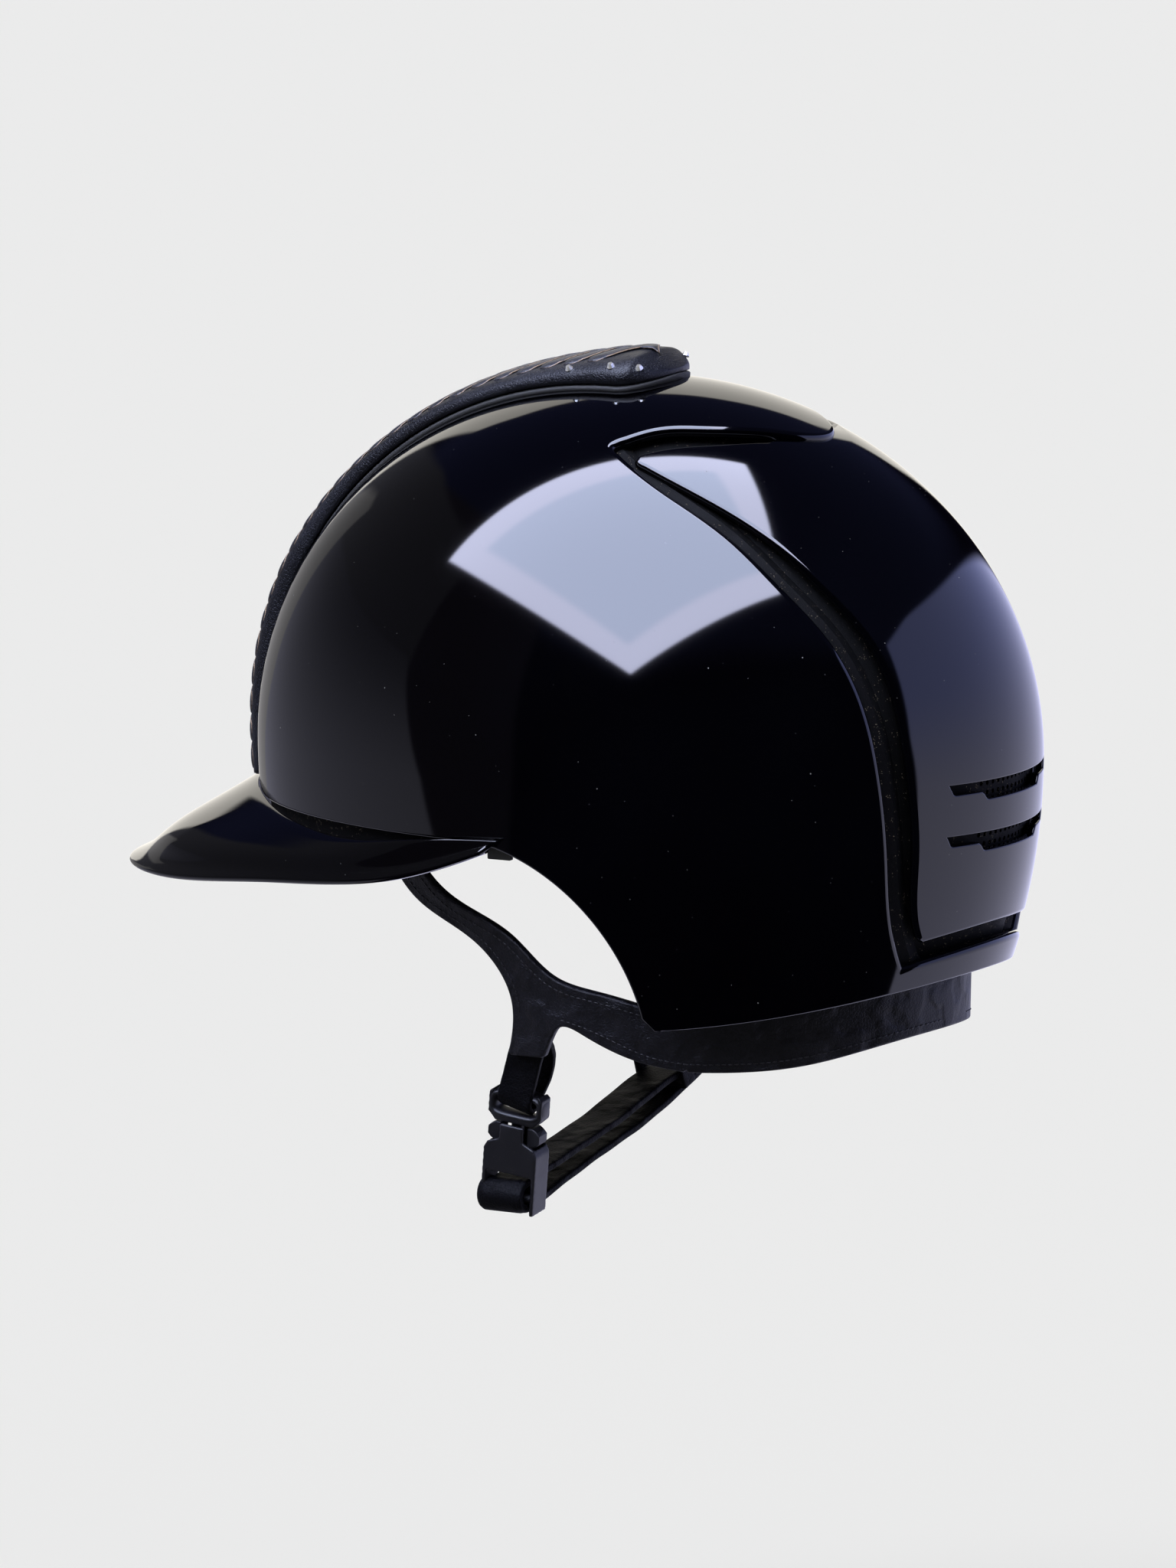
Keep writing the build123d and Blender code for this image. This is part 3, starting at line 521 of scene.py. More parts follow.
class Outline:
    """A closed outline in side or rear view, and what it does to a skin."""

    def __init__(self, points: np.ndarray, view: View = View.SIDE, keep: bool = True, radius: float = 1.0,
                 low: float = -REACH, high: float = REACH) -> None:
        """Stores the outline.

        Args:
            points: Closed run of points, the last next to the first.
            view: Direction it is drawn from.
            keep: Whether the inside is kept, or else the outside.
            radius: Rounding of the skin's edge along it, in millimetres.
            low: Start of the prism on it.
            high: End of the prism on it.
        """
        area = np.sum(points[:, 0] * np.roll(points[:, 1], -1) - np.roll(points[:, 0], -1) * points[:, 1])
        self.points = points if area > 0 else points[::-1]
        self.view, self.keep, self.radius, self.low, self.high = view, keep, radius, low, high
        run = np.roll(self.points, -1, axis=0) - np.roll(self.points, 1, axis=0)
        run /= np.linalg.norm(run, axis=1)[:, None] + 1e-12
        sign = 1.0 if keep else -1.0
        self.normals = np.stack([run[:, 1], -run[:, 0]], axis=1) * sign

    def flat(self, point: Vector) -> np.ndarray:
        """The two numbers of a point in this view."""
        return np.array([point.x if self.view is View.SIDE else point.y, point.z])

    def nearest(self, point: Vector) -> tuple[float, Vector]:
        """Distance to the outline and the direction away from what is kept.

        Returns:
            The distance in millimetres and the direction in space.
        """
        here = self.flat(point)
        ends = np.roll(self.points, -1, axis=0) - self.points
        along = np.einsum("ij,ij->i", here - self.points, ends) / (np.einsum("ij,ij->i", ends, ends) + 1e-12)
        along = np.clip(along, 0, 1)
        gap = np.linalg.norm(self.points + ends * along[:, None] - here, axis=1)
        k = int(np.argmin(gap))
        following = (k + 1) % len(self.points)
        flat = self.normals[k] * (1 - along[k]) + self.normals[following] * along[k]
        if self.view is View.SIDE:
            return float(gap[k]), Vector((flat[0], 0.0, flat[1]))
        return float(gap[k]), Vector((0.0, flat[0], flat[1]))

    def prism(self) -> bpy.types.Object:
        """The solid on the outline.

        Returns:
            A new object in millimetres, to be removed after use.
        """
        bm = bmesh.new()
        if self.view is View.SIDE:
            verts = [bm.verts.new((x, self.low, z)) for x, z in self.points]
            way = Vector((0, self.high - self.low, 0))
        else:
            verts = [bm.verts.new((self.low, y, z)) for y, z in self.points]
            way = Vector((self.high - self.low, 0, 0))
        face = bm.faces.new(verts)
        grown = bmesh.ops.extrude_face_region(bm, geom=[face])["geom"]
        bmesh.ops.translate(bm, vec=way, verts=[g for g in grown if isinstance(g, bmesh.types.BMVert)])
        bmesh.ops.recalc_face_normals(bm, faces=bm.faces)
        return to_object("cutter", bm)


def to_object(name: str, bm: bmesh.types.BMesh) -> bpy.types.Object:
    """Makes an object of a bmesh and frees it.

    Returns:
        The object, linked to the scene.
    """
    mesh = bpy.data.meshes.new(name)
    bm.to_mesh(mesh)
    bm.free()
    made = bpy.data.objects.new(name, mesh)
    bpy.context.scene.collection.objects.link(made)
    return made


def drop(obj: bpy.types.Object) -> None:
    """Removes an object and its mesh."""
    mesh = obj.data
    bpy.data.objects.remove(obj)
    bpy.data.meshes.remove(mesh)


def applied(obj: bpy.types.Object) -> bpy.types.Mesh:
    """The mesh of an object with its modifiers applied."""
    graph = bpy.context.evaluated_depsgraph_get()
    return bpy.data.meshes.new_from_object(obj.evaluated_get(graph))


def finished(name: str, obj: bpy.types.Object, finish: Finish, body: str, slot: str,
             replaces: Sequence[str] = ()) -> bpy.types.Object:
    """Gives a piece its name, finish and body, and hides the nodes it stands for.

    Returns:
        The same object.
    """
    obj.name = name
    obj.data.name = name
    obj.data.materials.clear()
    obj.data.materials.append(finish.make())
    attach(obj, body)
    if replaces:
        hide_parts(*replaces)
    LOG.info("%s: %d faces", name, len(obj.data.polygons))
    return obj


class Base:
    """A closed surface that skins are cut from."""

    def body(self) -> bmesh.types.BMesh:
        """The closed solid inside the surface."""
        raise NotImplementedError

    def level(self, point: Vector) -> float:
        """1 on the surface and less inside it."""
        raise NotImplementedError

    def normal(self, point: Vector) -> Vector:
        """Outward direction of the surface near a point."""
        raise NotImplementedError

    def snapped(self, point: Vector) -> Vector:
        """The point moved onto the surface."""
        raise NotImplementedError

    def inner(self, point: Vector, wall: float) -> Vector:
        """The point that lies under this one on the inner surface."""
        raise NotImplementedError


@dataclass
class Egg(Base):
    """The head shell's surface, or one at a depth under it."""

    depth: float = 0.0
    around: int = 240
    rings: int = 120

    def axes(self, upper: bool, more: float = 0.0) -> Vector:
        """Half-axes of the upper or lower half."""
        height = UPPER_HEIGHT if upper else LOWER_HEIGHT
        inset = self.depth + more
        return Vector((HALF_LENGTH - inset, HALF_WIDTH - inset, height - inset))

    def body(self) -> bmesh.types.BMesh:
        """A fine ball stretched to the egg."""
        bm = bmesh.new()
        bmesh.ops.create_uvsphere(bm, u_segments=self.around, v_segments=self.rings, radius=1.0)
        for v in bm.verts:
            axes = self.axes(v.co.z >= 0)
            v.co = Vector((v.co.x * axes.x, v.co.y * axes.y, v.co.z * axes.z + EQUATOR))
        return bm

    def level(self, point: Vector) -> float:
        """Share of the way out to the surface."""
        axes = self.axes(point.z >= EQUATOR)
        return Vector((point.x / axes.x, point.y / axes.y, (point.z - EQUATOR) / axes.z)).length

    def normal(self, point: Vector) -> Vector:
        """Outward direction."""
        axes = self.axes(point.z >= EQUATOR)
        return Vector((point.x / axes.x ** 2, point.y / axes.y ** 2,
                       (point.z - EQUATOR) / axes.z ** 2)).normalized()

    def snapped(self, point: Vector) -> Vector:
        """Pushed out from the centre."""
        centre = Vector((0, 0, EQUATOR))
        return centre + (point - centre) / self.level(point)

    def inner(self, point: Vector, wall: float) -> Vector:
        """Scaled to the inner egg."""
        upper = point.z >= EQUATOR
        out, into = self.axes(upper), self.axes(upper, wall)
        return Vector((point.x * into.x / out.x, point.y * into.y / out.y,
                       EQUATOR + (point.z - EQUATOR) * into.z / out.z))


@dataclass
class Cone(Base):
    """The elliptic cone that the leather harness lies on."""

    outset: float = 0.0
    half_length: float = 118.0
    low: float = -80.0
    high: float = 60.0
    low_width: float = 68.0
    slope: float = 0.16
    around: int = 260
    rings: int = 60

    def axes(self, z: float, more: float = 0.0) -> tuple[float, float]:
        """Half-axes at a height."""
        width = self.low_width + (z - self.low) * self.slope
        return self.half_length + self.outset - more, width + self.outset - more

    def body(self) -> bmesh.types.BMesh:
        """A tapering drum, cut into rings."""
        bm = bmesh.new()
        bmesh.ops.create_cone(bm, cap_ends=True, segments=self.around, radius1=1, radius2=1, depth=1)
        for k in range(1, self.rings):
            bmesh.ops.bisect_plane(bm, geom=bm.verts[:] + bm.edges[:] + bm.faces[:],
                                   plane_co=(0, 0, k / self.rings - 0.5), plane_no=(0, 0, 1))
        for v in bm.verts:
            z = self.low + (v.co.z + 0.5) * (self.high - self.low)
            a, b = self.axes(z)
            v.co = Vector((v.co.x * a, v.co.y * b, z))
        return bm

    def level(self, point: Vector) -> float:
        """Share of the way out to the surface."""
        a, b = self.axes(point.z)
        return math.hypot(point.x / a, point.y / b)

    def normal(self, point: Vector) -> Vector:
        """Outward direction."""
        a, b = self.axes(point.z)
        return Vector((point.x / a ** 2, point.y / b ** 2, -self.slope * point.y ** 2 / b ** 3)).normalized()

    def snapped(self, point: Vector) -> Vector:
        """Pushed out from the axis."""
        level = self.level(point)
        return Vector((point.x / level, point.y / level, point.z))

    def inner(self, point: Vector, wall: float) -> Vector:
        """Drawn in towards the axis."""
        a, b = self.axes(point.z)
        c, d = self.axes(point.z, wall)
        return Vector((point.x * c / a, point.y * d / b, point.z))

    def over(self, x: float, z: float, way: float, height: float = 0.0) -> Vector:
        """A point on one side of the cone, lifted off it.

        Args:
            x: Place along the helmet.
            z: Height.
            way: -1 for the wearer's left, 1 for the right.
            height: Distance off the surface.

        Returns:
            The point.
        """
        a, b = self.axes(z)
        point = Vector((x, way * b * math.sqrt(max(0.0, 1 - (x / a) ** 2)), z))
        return point + self.normal(point) * height


@dataclass
class Skin:
    """A wall cut from a surface along outlines, with rounded edges and true normals."""

    base: Base
    wall: float
    outlines: list[Outline]
    steps: int = 6
    least_level: float = 0.97
    least_facing: float = 0.6
    weld: float = 0.02
    rim_weld: float = 0.004

    def cut(self) -> bmesh.types.BMesh:
        """The outer face, cut to its outlines.

        Returns:
            An open mesh on the surface.
        """
        solid = to_object("blank", self.base.body())
        cutters = []
        for outline in self.outlines:
            cutter = outline.prism()
            modifier = solid.modifiers.new("cut", "BOOLEAN")
            modifier.operation = "INTERSECT" if outline.keep else "DIFFERENCE"
            modifier.solver = "EXACT"
            modifier.object = cutter
            cutters.append(cutter)
        mesh = applied(solid)
        for cutter in cutters:
            drop(cutter)
        drop(solid)
        bm = bmesh.new()
        bm.from_mesh(mesh)
        bpy.data.meshes.remove(mesh)
        off = []
        for face in bm.faces:
            centre = face.calc_center_median()
            facing = face.normal.dot(self.base.normal(centre))
            if self.base.level(centre) < self.least_level or facing < self.least_facing:
                off.append(face)
        bmesh.ops.delete(bm, geom=off, context="FACES")
        bmesh.ops.remove_doubles(bm, verts=bm.verts, dist=self.weld)
        for v in bm.verts:
            v.co = self.base.snapped(v.co)
        return bm

    def build(self) -> bmesh.types.BMesh:
        """The whole closed wall.

        Returns:
            The mesh, with a layer "shade" of its normals.
        """
        bm = self.cut()
        home = bm.verts.layers.float_vector.new("home")
        out = bm.verts.layers.float_vector.new("out")
        away = bm.verts.layers.float_vector.new("away")
        shade = bm.verts.layers.float_vector.new("shade")
        size = bm.verts.layers.float.new("size")
        for v in bm.verts:
            normal = self.base.normal(v.co)
            v[home], v[out], v[shade] = v.co, normal, normal
            if v.is_boundary:
                found = min(((*outline.nearest(v.co), outline.radius) for outline in self.outlines),
                            key=lambda item: item[0])
                flat = found[1]
                square = flat - normal * flat.dot(normal)
                v[away] = square.normalized() if square.length > 1e-6 else flat
                v[size] = found[2]
        under = bmesh.ops.duplicate(bm, geom=bm.verts[:] + bm.edges[:] + bm.faces[:])["geom"]
        inner_faces = [g for g in under if isinstance(g, bmesh.types.BMFace)]
        inner_verts = {g for g in under if isinstance(g, bmesh.types.BMVert)}
        ring = [e for e in bm.edges if e.is_boundary and e.verts[0] not in inner_verts]
        bmesh.ops.reverse_faces(bm, faces=inner_faces)
        for v in inner_verts:
            v.co = self.base.inner(v[home], self.wall)
            v[shade] = -v[out]
        turns = [k / self.steps * math.pi / 2 for k in range(1, self.steps + 1)]
        for place, turn in enumerate(turns + [None, "last"]):
            grown = bmesh.ops.extrude_edge_only(bm, edges=ring)["geom"]
            verts = [g for g in grown if isinstance(g, bmesh.types.BMVert)]
            fresh = set(verts)
            ring = [g for g in grown if isinstance(g, bmesh.types.BMEdge) and fresh.issuperset(g.verts)]
            for v in verts:
                radius = min(v[size], self.wall)
                if turn is None:
                    v.co = v[home] + v[away] * radius - v[out] * self.wall
                    v[shade] = v[away]
                elif turn == "last":
                    v.co = self.base.inner(v[home], self.wall)
                    v[shade] = -v[out]
                else:
                    v.co = (v[home] + v[away] * radius * math.sin(turn)
                            - v[out] * radius * (1 - math.cos(turn)))
                    v[shade] = v[out] * math.cos(turn) + v[away] * math.sin(turn)
        bmesh.ops.remove_doubles(bm, verts=bm.verts, dist=self.rim_weld)
        return bm

    def piece(self, name: str) -> bpy.types.Object:
        """The wall as an object in metres with its own normals.

        Returns:
            The object.
        """
        bm = self.build()
        shade = bm.verts.layers.float_vector["shade"]
        normals = [tuple(v[shade].normalized()) for v in bm.verts]
        for layer in ("home", "out", "away", "shade"):
            bm.verts.layers.float_vector.remove(bm.verts.layers.float_vector[layer])
        bm.verts.layers.float.remove(bm.verts.layers.float["size"])
        for face in bm.faces:
            face.smooth = True
        bmesh.ops.scale(bm, vec=(MM, MM, MM), verts=bm.verts)
        obj = to_object(name, bm)
        obj.data.normals_split_custom_set_from_vertices(normals)
        return obj


def mapped(name: str, across: int, along: int, place: Callable[[float, float], Vector]) -> bpy.types.Object:
    """A grid laid out by a rule and closed, in metres, with its own UV map.

    Args:
        name: Name of the object.
        across: Faces along u.
        along: Faces along w.
        place: Rule from u and w, each 0 to 1, to a point in millimetres.

    Returns:
        The object.
    """
    bm = bmesh.new()
    bmesh.ops.create_grid(bm, x_segments=across, y_segments=along, size=0.5)
    uv = bm.loops.layers.uv.new("UVMap")
    for face in bm.faces:
        for loop in face.loops:
            loop[uv].uv = (loop.vert.co.x + 0.5, loop.vert.co.y + 0.5)
    for v in bm.verts:
        v.co = place(v.co.x + 0.5, v.co.y + 0.5)
    bmesh.ops.remove_doubles(bm, verts=bm.verts, dist=1e-4)
    bmesh.ops.holes_fill(bm, edges=[e for e in bm.edges if e.is_boundary], sides=0)
    bmesh.ops.recalc_face_normals(bm, faces=bm.faces)
    for face in bm.faces:
        face.smooth = True
    bmesh.ops.scale(bm, vec=(MM, MM, MM), verts=bm.verts)
    return to_object(name, bm)


def blunted(value: float, power: float) -> float:
    """A sine or cosine drawn towards 1 or -1, which squares a round section."""
    return math.copysign(abs(value) ** power, value)


def joined(name: str, objects: list[bpy.types.Object]) -> bpy.types.Object:
    """One object of several meshes.

    Returns:
        The joined object.
    """
    bm = bmesh.new()
    for obj in objects:
        bm.from_mesh(obj.data)
    for obj in objects:
        drop(obj)
    return to_object(name, bm)


def stitches(name: str, line: Sequence[Vector], outward: Sequence[Vector], pitch: float = 2.2,
             length: float = 1.7, radius: float = 0.24) -> bpy.types.Object:
    """A row of thread stitches along a line.

    Args:
        name: Name of the object.
        line: Points along the row, in millimetres.
        outward: The surface's direction at each point.
        pitch: Distance from stitch to stitch.
        length: Length of a stitch.
        radius: Half the thread's thickness.

    Returns:
        The object.
    """
    points = np.array([tuple(p) for p in line])
    run = np.concatenate([[0], np.cumsum(np.linalg.norm(np.diff(points, axis=0), axis=1))])
    grow = Matrix.Diagonal((length / 2, radius, radius, 1))
    lying = Matrix.Rotation(math.pi / 2, 4, "Y")
    bm = bmesh.new()
    for k in range(int(run[-1] / pitch)):
        at = (k + 0.5) * pitch
        centre = Vector([float(np.interp(at, run, points[:, axis])) for axis in range(3)])
        ahead = Vector([float(np.interp(at + 0.5, run, points[:, axis])) for axis in range(3)])
        way = (ahead - centre).normalized()
        near = int(np.clip(np.searchsorted(run, at), 0, len(line) - 1))
        up = outward[near]
        cross = way.cross(up).normalized()
        turn = Matrix((way, cross, up)).transposed().to_4x4()
        bmesh.ops.create_uvsphere(bm, u_segments=8, v_segments=5, radius=1.0,
                                  matrix=Matrix.Translation(centre) @ turn @ grow @ lying)
    for face in bm.faces:
        face.smooth = True
    bmesh.ops.scale(bm, vec=(MM, MM, MM), verts=bm.verts)
    return to_object(name, bm)


# Outlines


@dataclass
class Outlines:
    """Side-view outlines that several pieces share."""

    rim_front: Points = field(default_factory=lambda: [(-1.3, 0.130), (-0.09, 0.126)])
    ear: Points = field(default_factory=lambda: [(0.198, -0.012), (0.302, -0.225)])
    hem: Points = field(default_factory=lambda: [(0.328, -0.252), (0.655, -0.214), (1.3, -0.045)])
    channel: tuple = (
        (0.076, 0.902),
        ((0.158, 0.9255), (0.267, 0.9306), (0.376, 0.925), (0.506, 0.8965)),
        ((1.3, 0.80), (1.3, 0.0)),
        (0.842, -0.128),
        ((0.839, -0.047), (0.845, 0.108), (0.840, 0.235), (0.798, 0.412), (0.717, 0.541), (0.588, 0.653),
         (0.450, 0.745), (0.267, 0.8265)))
    panel: tuple = (
        (0.148, 0.881),
        ((0.195, 0.8985), (0.316, 0.9076), (0.436, 0.9047), (0.5285, 0.884)),
        ((1.3, 0.79), (1.3, 0.03)),
        (0.868, -0.082),
        ((0.867, -0.041), (0.881, 0.104), (0.878, 0.257), (0.843, 0.418), (0.773, 0.5435), (0.668, 0.641),
         (0.529, 0.735), (0.358, 0.810)))

    @staticmethod
    def arc(start: tuple, middle: tuple, end: tuple, count: int) -> np.ndarray:
        """Points on the circle through three points."""
        (ax, ay), (bx, by), (cx, cy) = start, middle, end
        d = 2 * (ax * (by - cy) + bx * (cy - ay) + cx * (ay - by))
        a, b, c = ax * ax + ay * ay, bx * bx + by * by, cx * cx + cy * cy
        ux = (a * (by - cy) + b * (cy - ay) + c * (ay - by)) / d
        uy = (a * (cx - bx) + b * (ax - cx) + c * (bx - ax)) / d
        first, mid, last = (math.atan2(y - uy, x - ux) for x, y in (start, middle, end))
        turn = (last - first) % math.tau
        if (mid - first) % math.tau > turn:
            turn -= math.tau
        radius = math.hypot(ax - ux, ay - uy)
        angles = first + turn * np.arange(count + 1) / count
        return np.stack([ux + radius * np.cos(angles), uy + radius * np.sin(angles)], axis=1)

    def rim(self, inset: float = 0.0) -> np.ndarray:
        """What lies above the brow, ear cut-outs and hem."""
        front, ear_start = side(self.rim_front)
        ear_middle, ear_end = side(self.ear)
        hem = side(self.hem)
        line = np.concatenate([
            smooth_line([front, ear_start], 20),
            self.arc(ear_start, ear_middle, ear_end, 40)[1:],
            self.arc(*hem, 60)])
        run = np.gradient(line, axis=0)
        run /= np.linalg.norm(run, axis=1)[:, None]
        line = line + np.stack([-run[:, 1], run[:, 0]], axis=1) * inset
        return np.concatenate([line, [(line[-1, 0], REACH), (line[0, 0], REACH)]])

    @staticmethod
    def recess(shares: tuple, margin: float, blunt: float) -> np.ndarray:
        """A rear outline that tapers to a blunt tip near the crown, grown by a margin."""
        tip_share, top_shares, out_shares, corner_share, low_shares = shares
        tip, corner = side([tip_share, corner_share])
        top = shifted([tip] + side(top_shares), margin)
        low = shifted([corner] + side(low_shares) + [tip], margin)
        (out_x, out_high), (_, out_low) = side(out_shares)
        tip = (tip[0] - margin * 0.8, tip[1])
        upper = smooth_line([tip] + top[1:], 90)
        corner = (corner[0] - margin * slack(corner, (1.0, 0.0)), corner[1] - margin)
        lower = smooth_line([corner] + low[1:-1] + [tip], 150)
        upper = upper[np.linalg.norm(upper - tip, axis=1) > blunt]
        lower = lower[np.linalg.norm(lower - tip, axis=1) > blunt]
        ahead = np.array(tip) * 1.5 - (upper[0] + lower[-1]) * 0.25
        share = np.linspace(0, 1, 14)[1:-1, None]
        nose = (1 - share) ** 2 * lower[-1] + 2 * share * (1 - share) * ahead + share ** 2 * upper[0]
        return np.concatenate([upper, [(out_x, out_high), (out_x, out_low - margin)], lower, nose])


OUT = Outlines()


# The shell


@dataclass
class HeadShell:
    """Polished outer shell and its rear panel."""

    wall: float = 3.0
    channel_round: float = 2.3
    channel_blunt: float = 6.0
    panel_blunt: float = 3.0
    rim_round: float = 1.1
    panel_drop: float = 0.8
    panel_wall: float = 2.5
    panel_round: float = 2.0
    vent_top: float = 41.2
    vent_pitch: float = 17.9
    vent_half_length: float = 37.0
    vent_narrow: float = 3.3
    vent_wide_half: float = 20.0
    vent_wide: float = 6.2
    vent_rake: float = 2.6
    vent_round: float = 0.7

    def vent(self, index: int) -> np.ndarray:
        """One stepped vent, seen from behind, grown by its rounding."""
        top = self.vent_top - index * self.vent_pitch
        more = self.vent_round
        half = [(self.vent_half_length + more, top + more),
                (self.vent_half_length - self.vent_rake + more, top - self.vent_narrow - more),
                (self.vent_wide_half + self.vent_rake / 2 + more, top - self.vent_narrow - more),
                (self.vent_wide_half - self.vent_rake / 2 + more, top - self.vent_wide - more)]
        ring = np.array(half + [(-y, z) for y, z in reversed(half)])
        return evenly(np.concatenate([ring, ring[:1]]), 120)[:-1]

    def build(self) -> None:
        """Makes the shell and the panel."""
        shell = Skin(Egg(), self.wall, [
            Outline(OUT.rim(self.rim_round), radius=self.rim_round),
            Outline(OUT.recess(OUT.channel, self.channel_round, self.channel_blunt), keep=False,
                    radius=self.channel_round)])
        finished("shell_gloss", shell.piece("shell_gloss"), GLOSS, "helmet", "shell_gloss", ["outer_shell"])
        cuts = [Outline(OUT.recess(OUT.panel, -self.panel_round, self.panel_blunt), radius=self.panel_round)]
        cuts += [Outline(self.vent(k), View.REAR, keep=False, radius=self.vent_round,
                         low=40.0) for k in range(2)]
        panel = Skin(Egg(self.panel_drop), self.panel_wall, cuts)
        finished("rear_panel_gloss", panel.piece("rear_panel_gloss"), GLOSS, "helmet", "shell_gloss",
                 ["rear_panel"])


@dataclass
class Peak:
    """Polished peak with a rolled edge, and the leather under it."""

    low: tuple[float, float, float, float] = (-20.0, 173.4, 112.0, -8.0)
    high: tuple[float, float, float, float] = (0.0, 143.6, 110.8, 28.0)
    edge: Points = field(default_factory=lambda: [
        (-1.5, -0.044), (-1.03, -0.034), (-0.71, -0.003), (-0.31, 0.036), (-0.09, 0.094), (-0.02, 0.118)])
    back: Points = field(default_factory=lambda: [
        (-0.02, 0.137), (-0.20, 0.130), (-0.42, 0.111), (-0.64, 0.103), (-0.75, 0.110), (-0.85, 0.122),
        (-0.93, 0.139),
        (-1.0, 0.152), (-1.1, 0.156), (-1.5, 0.158)])
    wall_front: float = 5.2
    wall_side: float = 3.2
    reach_deg: float = 89.3
    gap: float = 0.45
    rear_gap: float = 2.6
    knee: float = 0.47
    knee_soft: float = 0.24
    steep: float = 0.42
    flat: float = 1.7
    roll: float = 1.9
    turn_share: float = 0.08
    bead: float = 3.2
    bead_height: float = 4.2
    knee_from: float = 6.0
    knee_over: float = 28.0
    wall_share: float = 0.3
    lining_gap: float = 0.3
    lining_front: float = 2.4
    lining_side: float = 1.2
    lining_inset: float = 0.6
    lining_reach: float = 0.995

    def __post_init__(self) -> None:
        """Works out the two edges as tables."""
        self.edge_line = smooth_line(side(self.edge), 200)
        self.back_line = smooth_line(side(self.back), 200)[::-1]
        self.rise = np.linspace(0, 1, 201)
        turned = np.clip((self.rise - self.knee + self.knee_soft) / (2 * self.knee_soft), 0, 1)
        slope = self.steep + (self.flat - self.steep) * turned * turned * (3 - 2 * turned)
        self.reach = np.concatenate([[0], np.cumsum((slope[1:] + slope[:-1]) / 2)])
        self.reach /= self.reach[-1]

    def skin(self, turn: float, z: float, front: float, beside: float) -> Vector:
        """A point of the flared surface, drawn in by walls at the front and the sides."""
        share = (z - self.low[3]) / (self.high[3] - self.low[3])
        ends = []
        for centre, length, width, _ in (self.low, self.high):
            ends.append(Vector((centre - (length - front) * math.cos(turn),
                                -(width - beside) * math.sin(turn), 0)))
        point = ends[0].lerp(ends[1], share)
        return Vector((point.x, point.y, z))

    def limits(self, turn: float) -> tuple[float, float]:
        """Heights of the free edge and the back edge at a turn round the brow."""
        heights = []
        for line in (self.edge_line, self.back_line):
            z = 0.0
            for _ in range(8):
                x = self.skin(turn, z, 0, 0).x
                z = float(np.interp(x, line[:, 0], line[:, 1]))
            heights.append(z)
        return heights[0], heights[1]

    def face(self, turn: float, share: float, front: float, beside: float) -> Vector:
        """A point of the outer face, which leaves the shell flat and turns down to its edge.

        Args:
            turn: Angle round the brow.
            share: 0 at the free edge, 1 at the shell.
            front: How far in the point lies at the front.
            beside: How far in it lies at the sides.

        Returns:
            The point.
        """
        low, high = self.limits(turn)
        edge = self.skin(turn, low, front, beside)
        fall = math.sqrt(1 - ((high - EQUATOR) / LOWER_HEIGHT) ** 2)
        gap = self.gap + self.rear_gap * abs(math.sin(turn)) ** 2
        length = HALF_LENGTH * fall + gap - front * self.wall_share
        width = HALF_WIDTH * fall + gap - beside * self.wall_share
        back = Vector((-length * math.cos(turn), -width * math.sin(turn), 0))
        kneed = min(1.0, max(0.0, (abs(math.degrees(turn)) - self.knee_from) / self.knee_over))
        inside = max(0.0, min(1.0, share))
        point = edge.lerp(back, inside + (float(np.interp(inside, self.rise, self.reach)) - inside) * kneed)
        return Vector((point.x, point.y, low + (high - low) * share))

    def section(self, turn: float, w: float, over: tuple[float, float], under: tuple[float, float],
                inset: float) -> Vector:
        """A point of the closed section, which runs up the outside and down the inside.

        Args:
            turn: Angle round the brow.
            w: Place in the section, 0 to 1.
            over: Walls in front and beside from the gloss face to the section's outside.
            under: The same to its inside.
            inset: How far the edges are drawn in.

        Returns:
            The point.
        """
        low, high = self.limits(turn)
        tall = max(0.8, high - low)
        roll = min(self.roll, tall / 2)
        half = w if w <= 0.5 else 1 - w
        start, end = inset, tall - inset
        if half < self.turn_share:
            angle = half / self.turn_share * math.pi / 2
            rise, off = start + roll * (1 - math.cos(angle)), math.sin(angle)
        elif half > 0.5 - self.turn_share:
            angle = (0.5 - half) / self.turn_share * math.pi / 2
            rise, off = end - roll * (1 - math.cos(angle)), math.sin(angle)
        else:
            share = (half - self.turn_share) / (0.5 - 2 * self.turn_share)
            rise, off = start + roll + (end - start - 2 * roll) * share, 1.0
        outside = 0.5 + (0.5 if w <= 0.5 else -0.5) * off
        bead = self.bead * math.exp(-(rise / self.bead_height) ** 2) if over[0] == 0 else 0.0
        walls = [o + (u - o) * (1 - outside) - bead * outside for o, u in zip(over, under)]
        point = self.face(turn, rise / tall, walls[0], walls[1])
        egg = Egg(-self.gap)
        return egg.snapped(point) if egg.level(point) < 1 else point

    def build(self) -> None:
        """Makes the peak and its lining."""
        limit = math.radians(self.reach_deg)

        def body(u: float, w: float) -> Vector:
            """The gloss peak."""
            return self.section((u * 2 - 1) * limit, w, (0, 0), (self.wall_front, self.wall_side), 0.0)

        def leather(u: float, w: float) -> Vector:
            """The leather under it."""
            over = (self.wall_front + self.lining_gap, self.wall_side + self.lining_gap)
            under = (over[0] + self.lining_front, over[1] + self.lining_side)
            return self.section((u * 2 - 1) * limit * self.lining_reach, w, over, under, self.lining_inset)

        finished("peak_gloss", mapped("peak_gloss", 260, 96, body), GLOSS, "helmet", "shell_gloss", ["peak"])
        finished("peak_leather", mapped("peak_leather", 160, 40, leather), LEATHER, "helmet", "leather",
                 ["peak_lining"])


# The crest


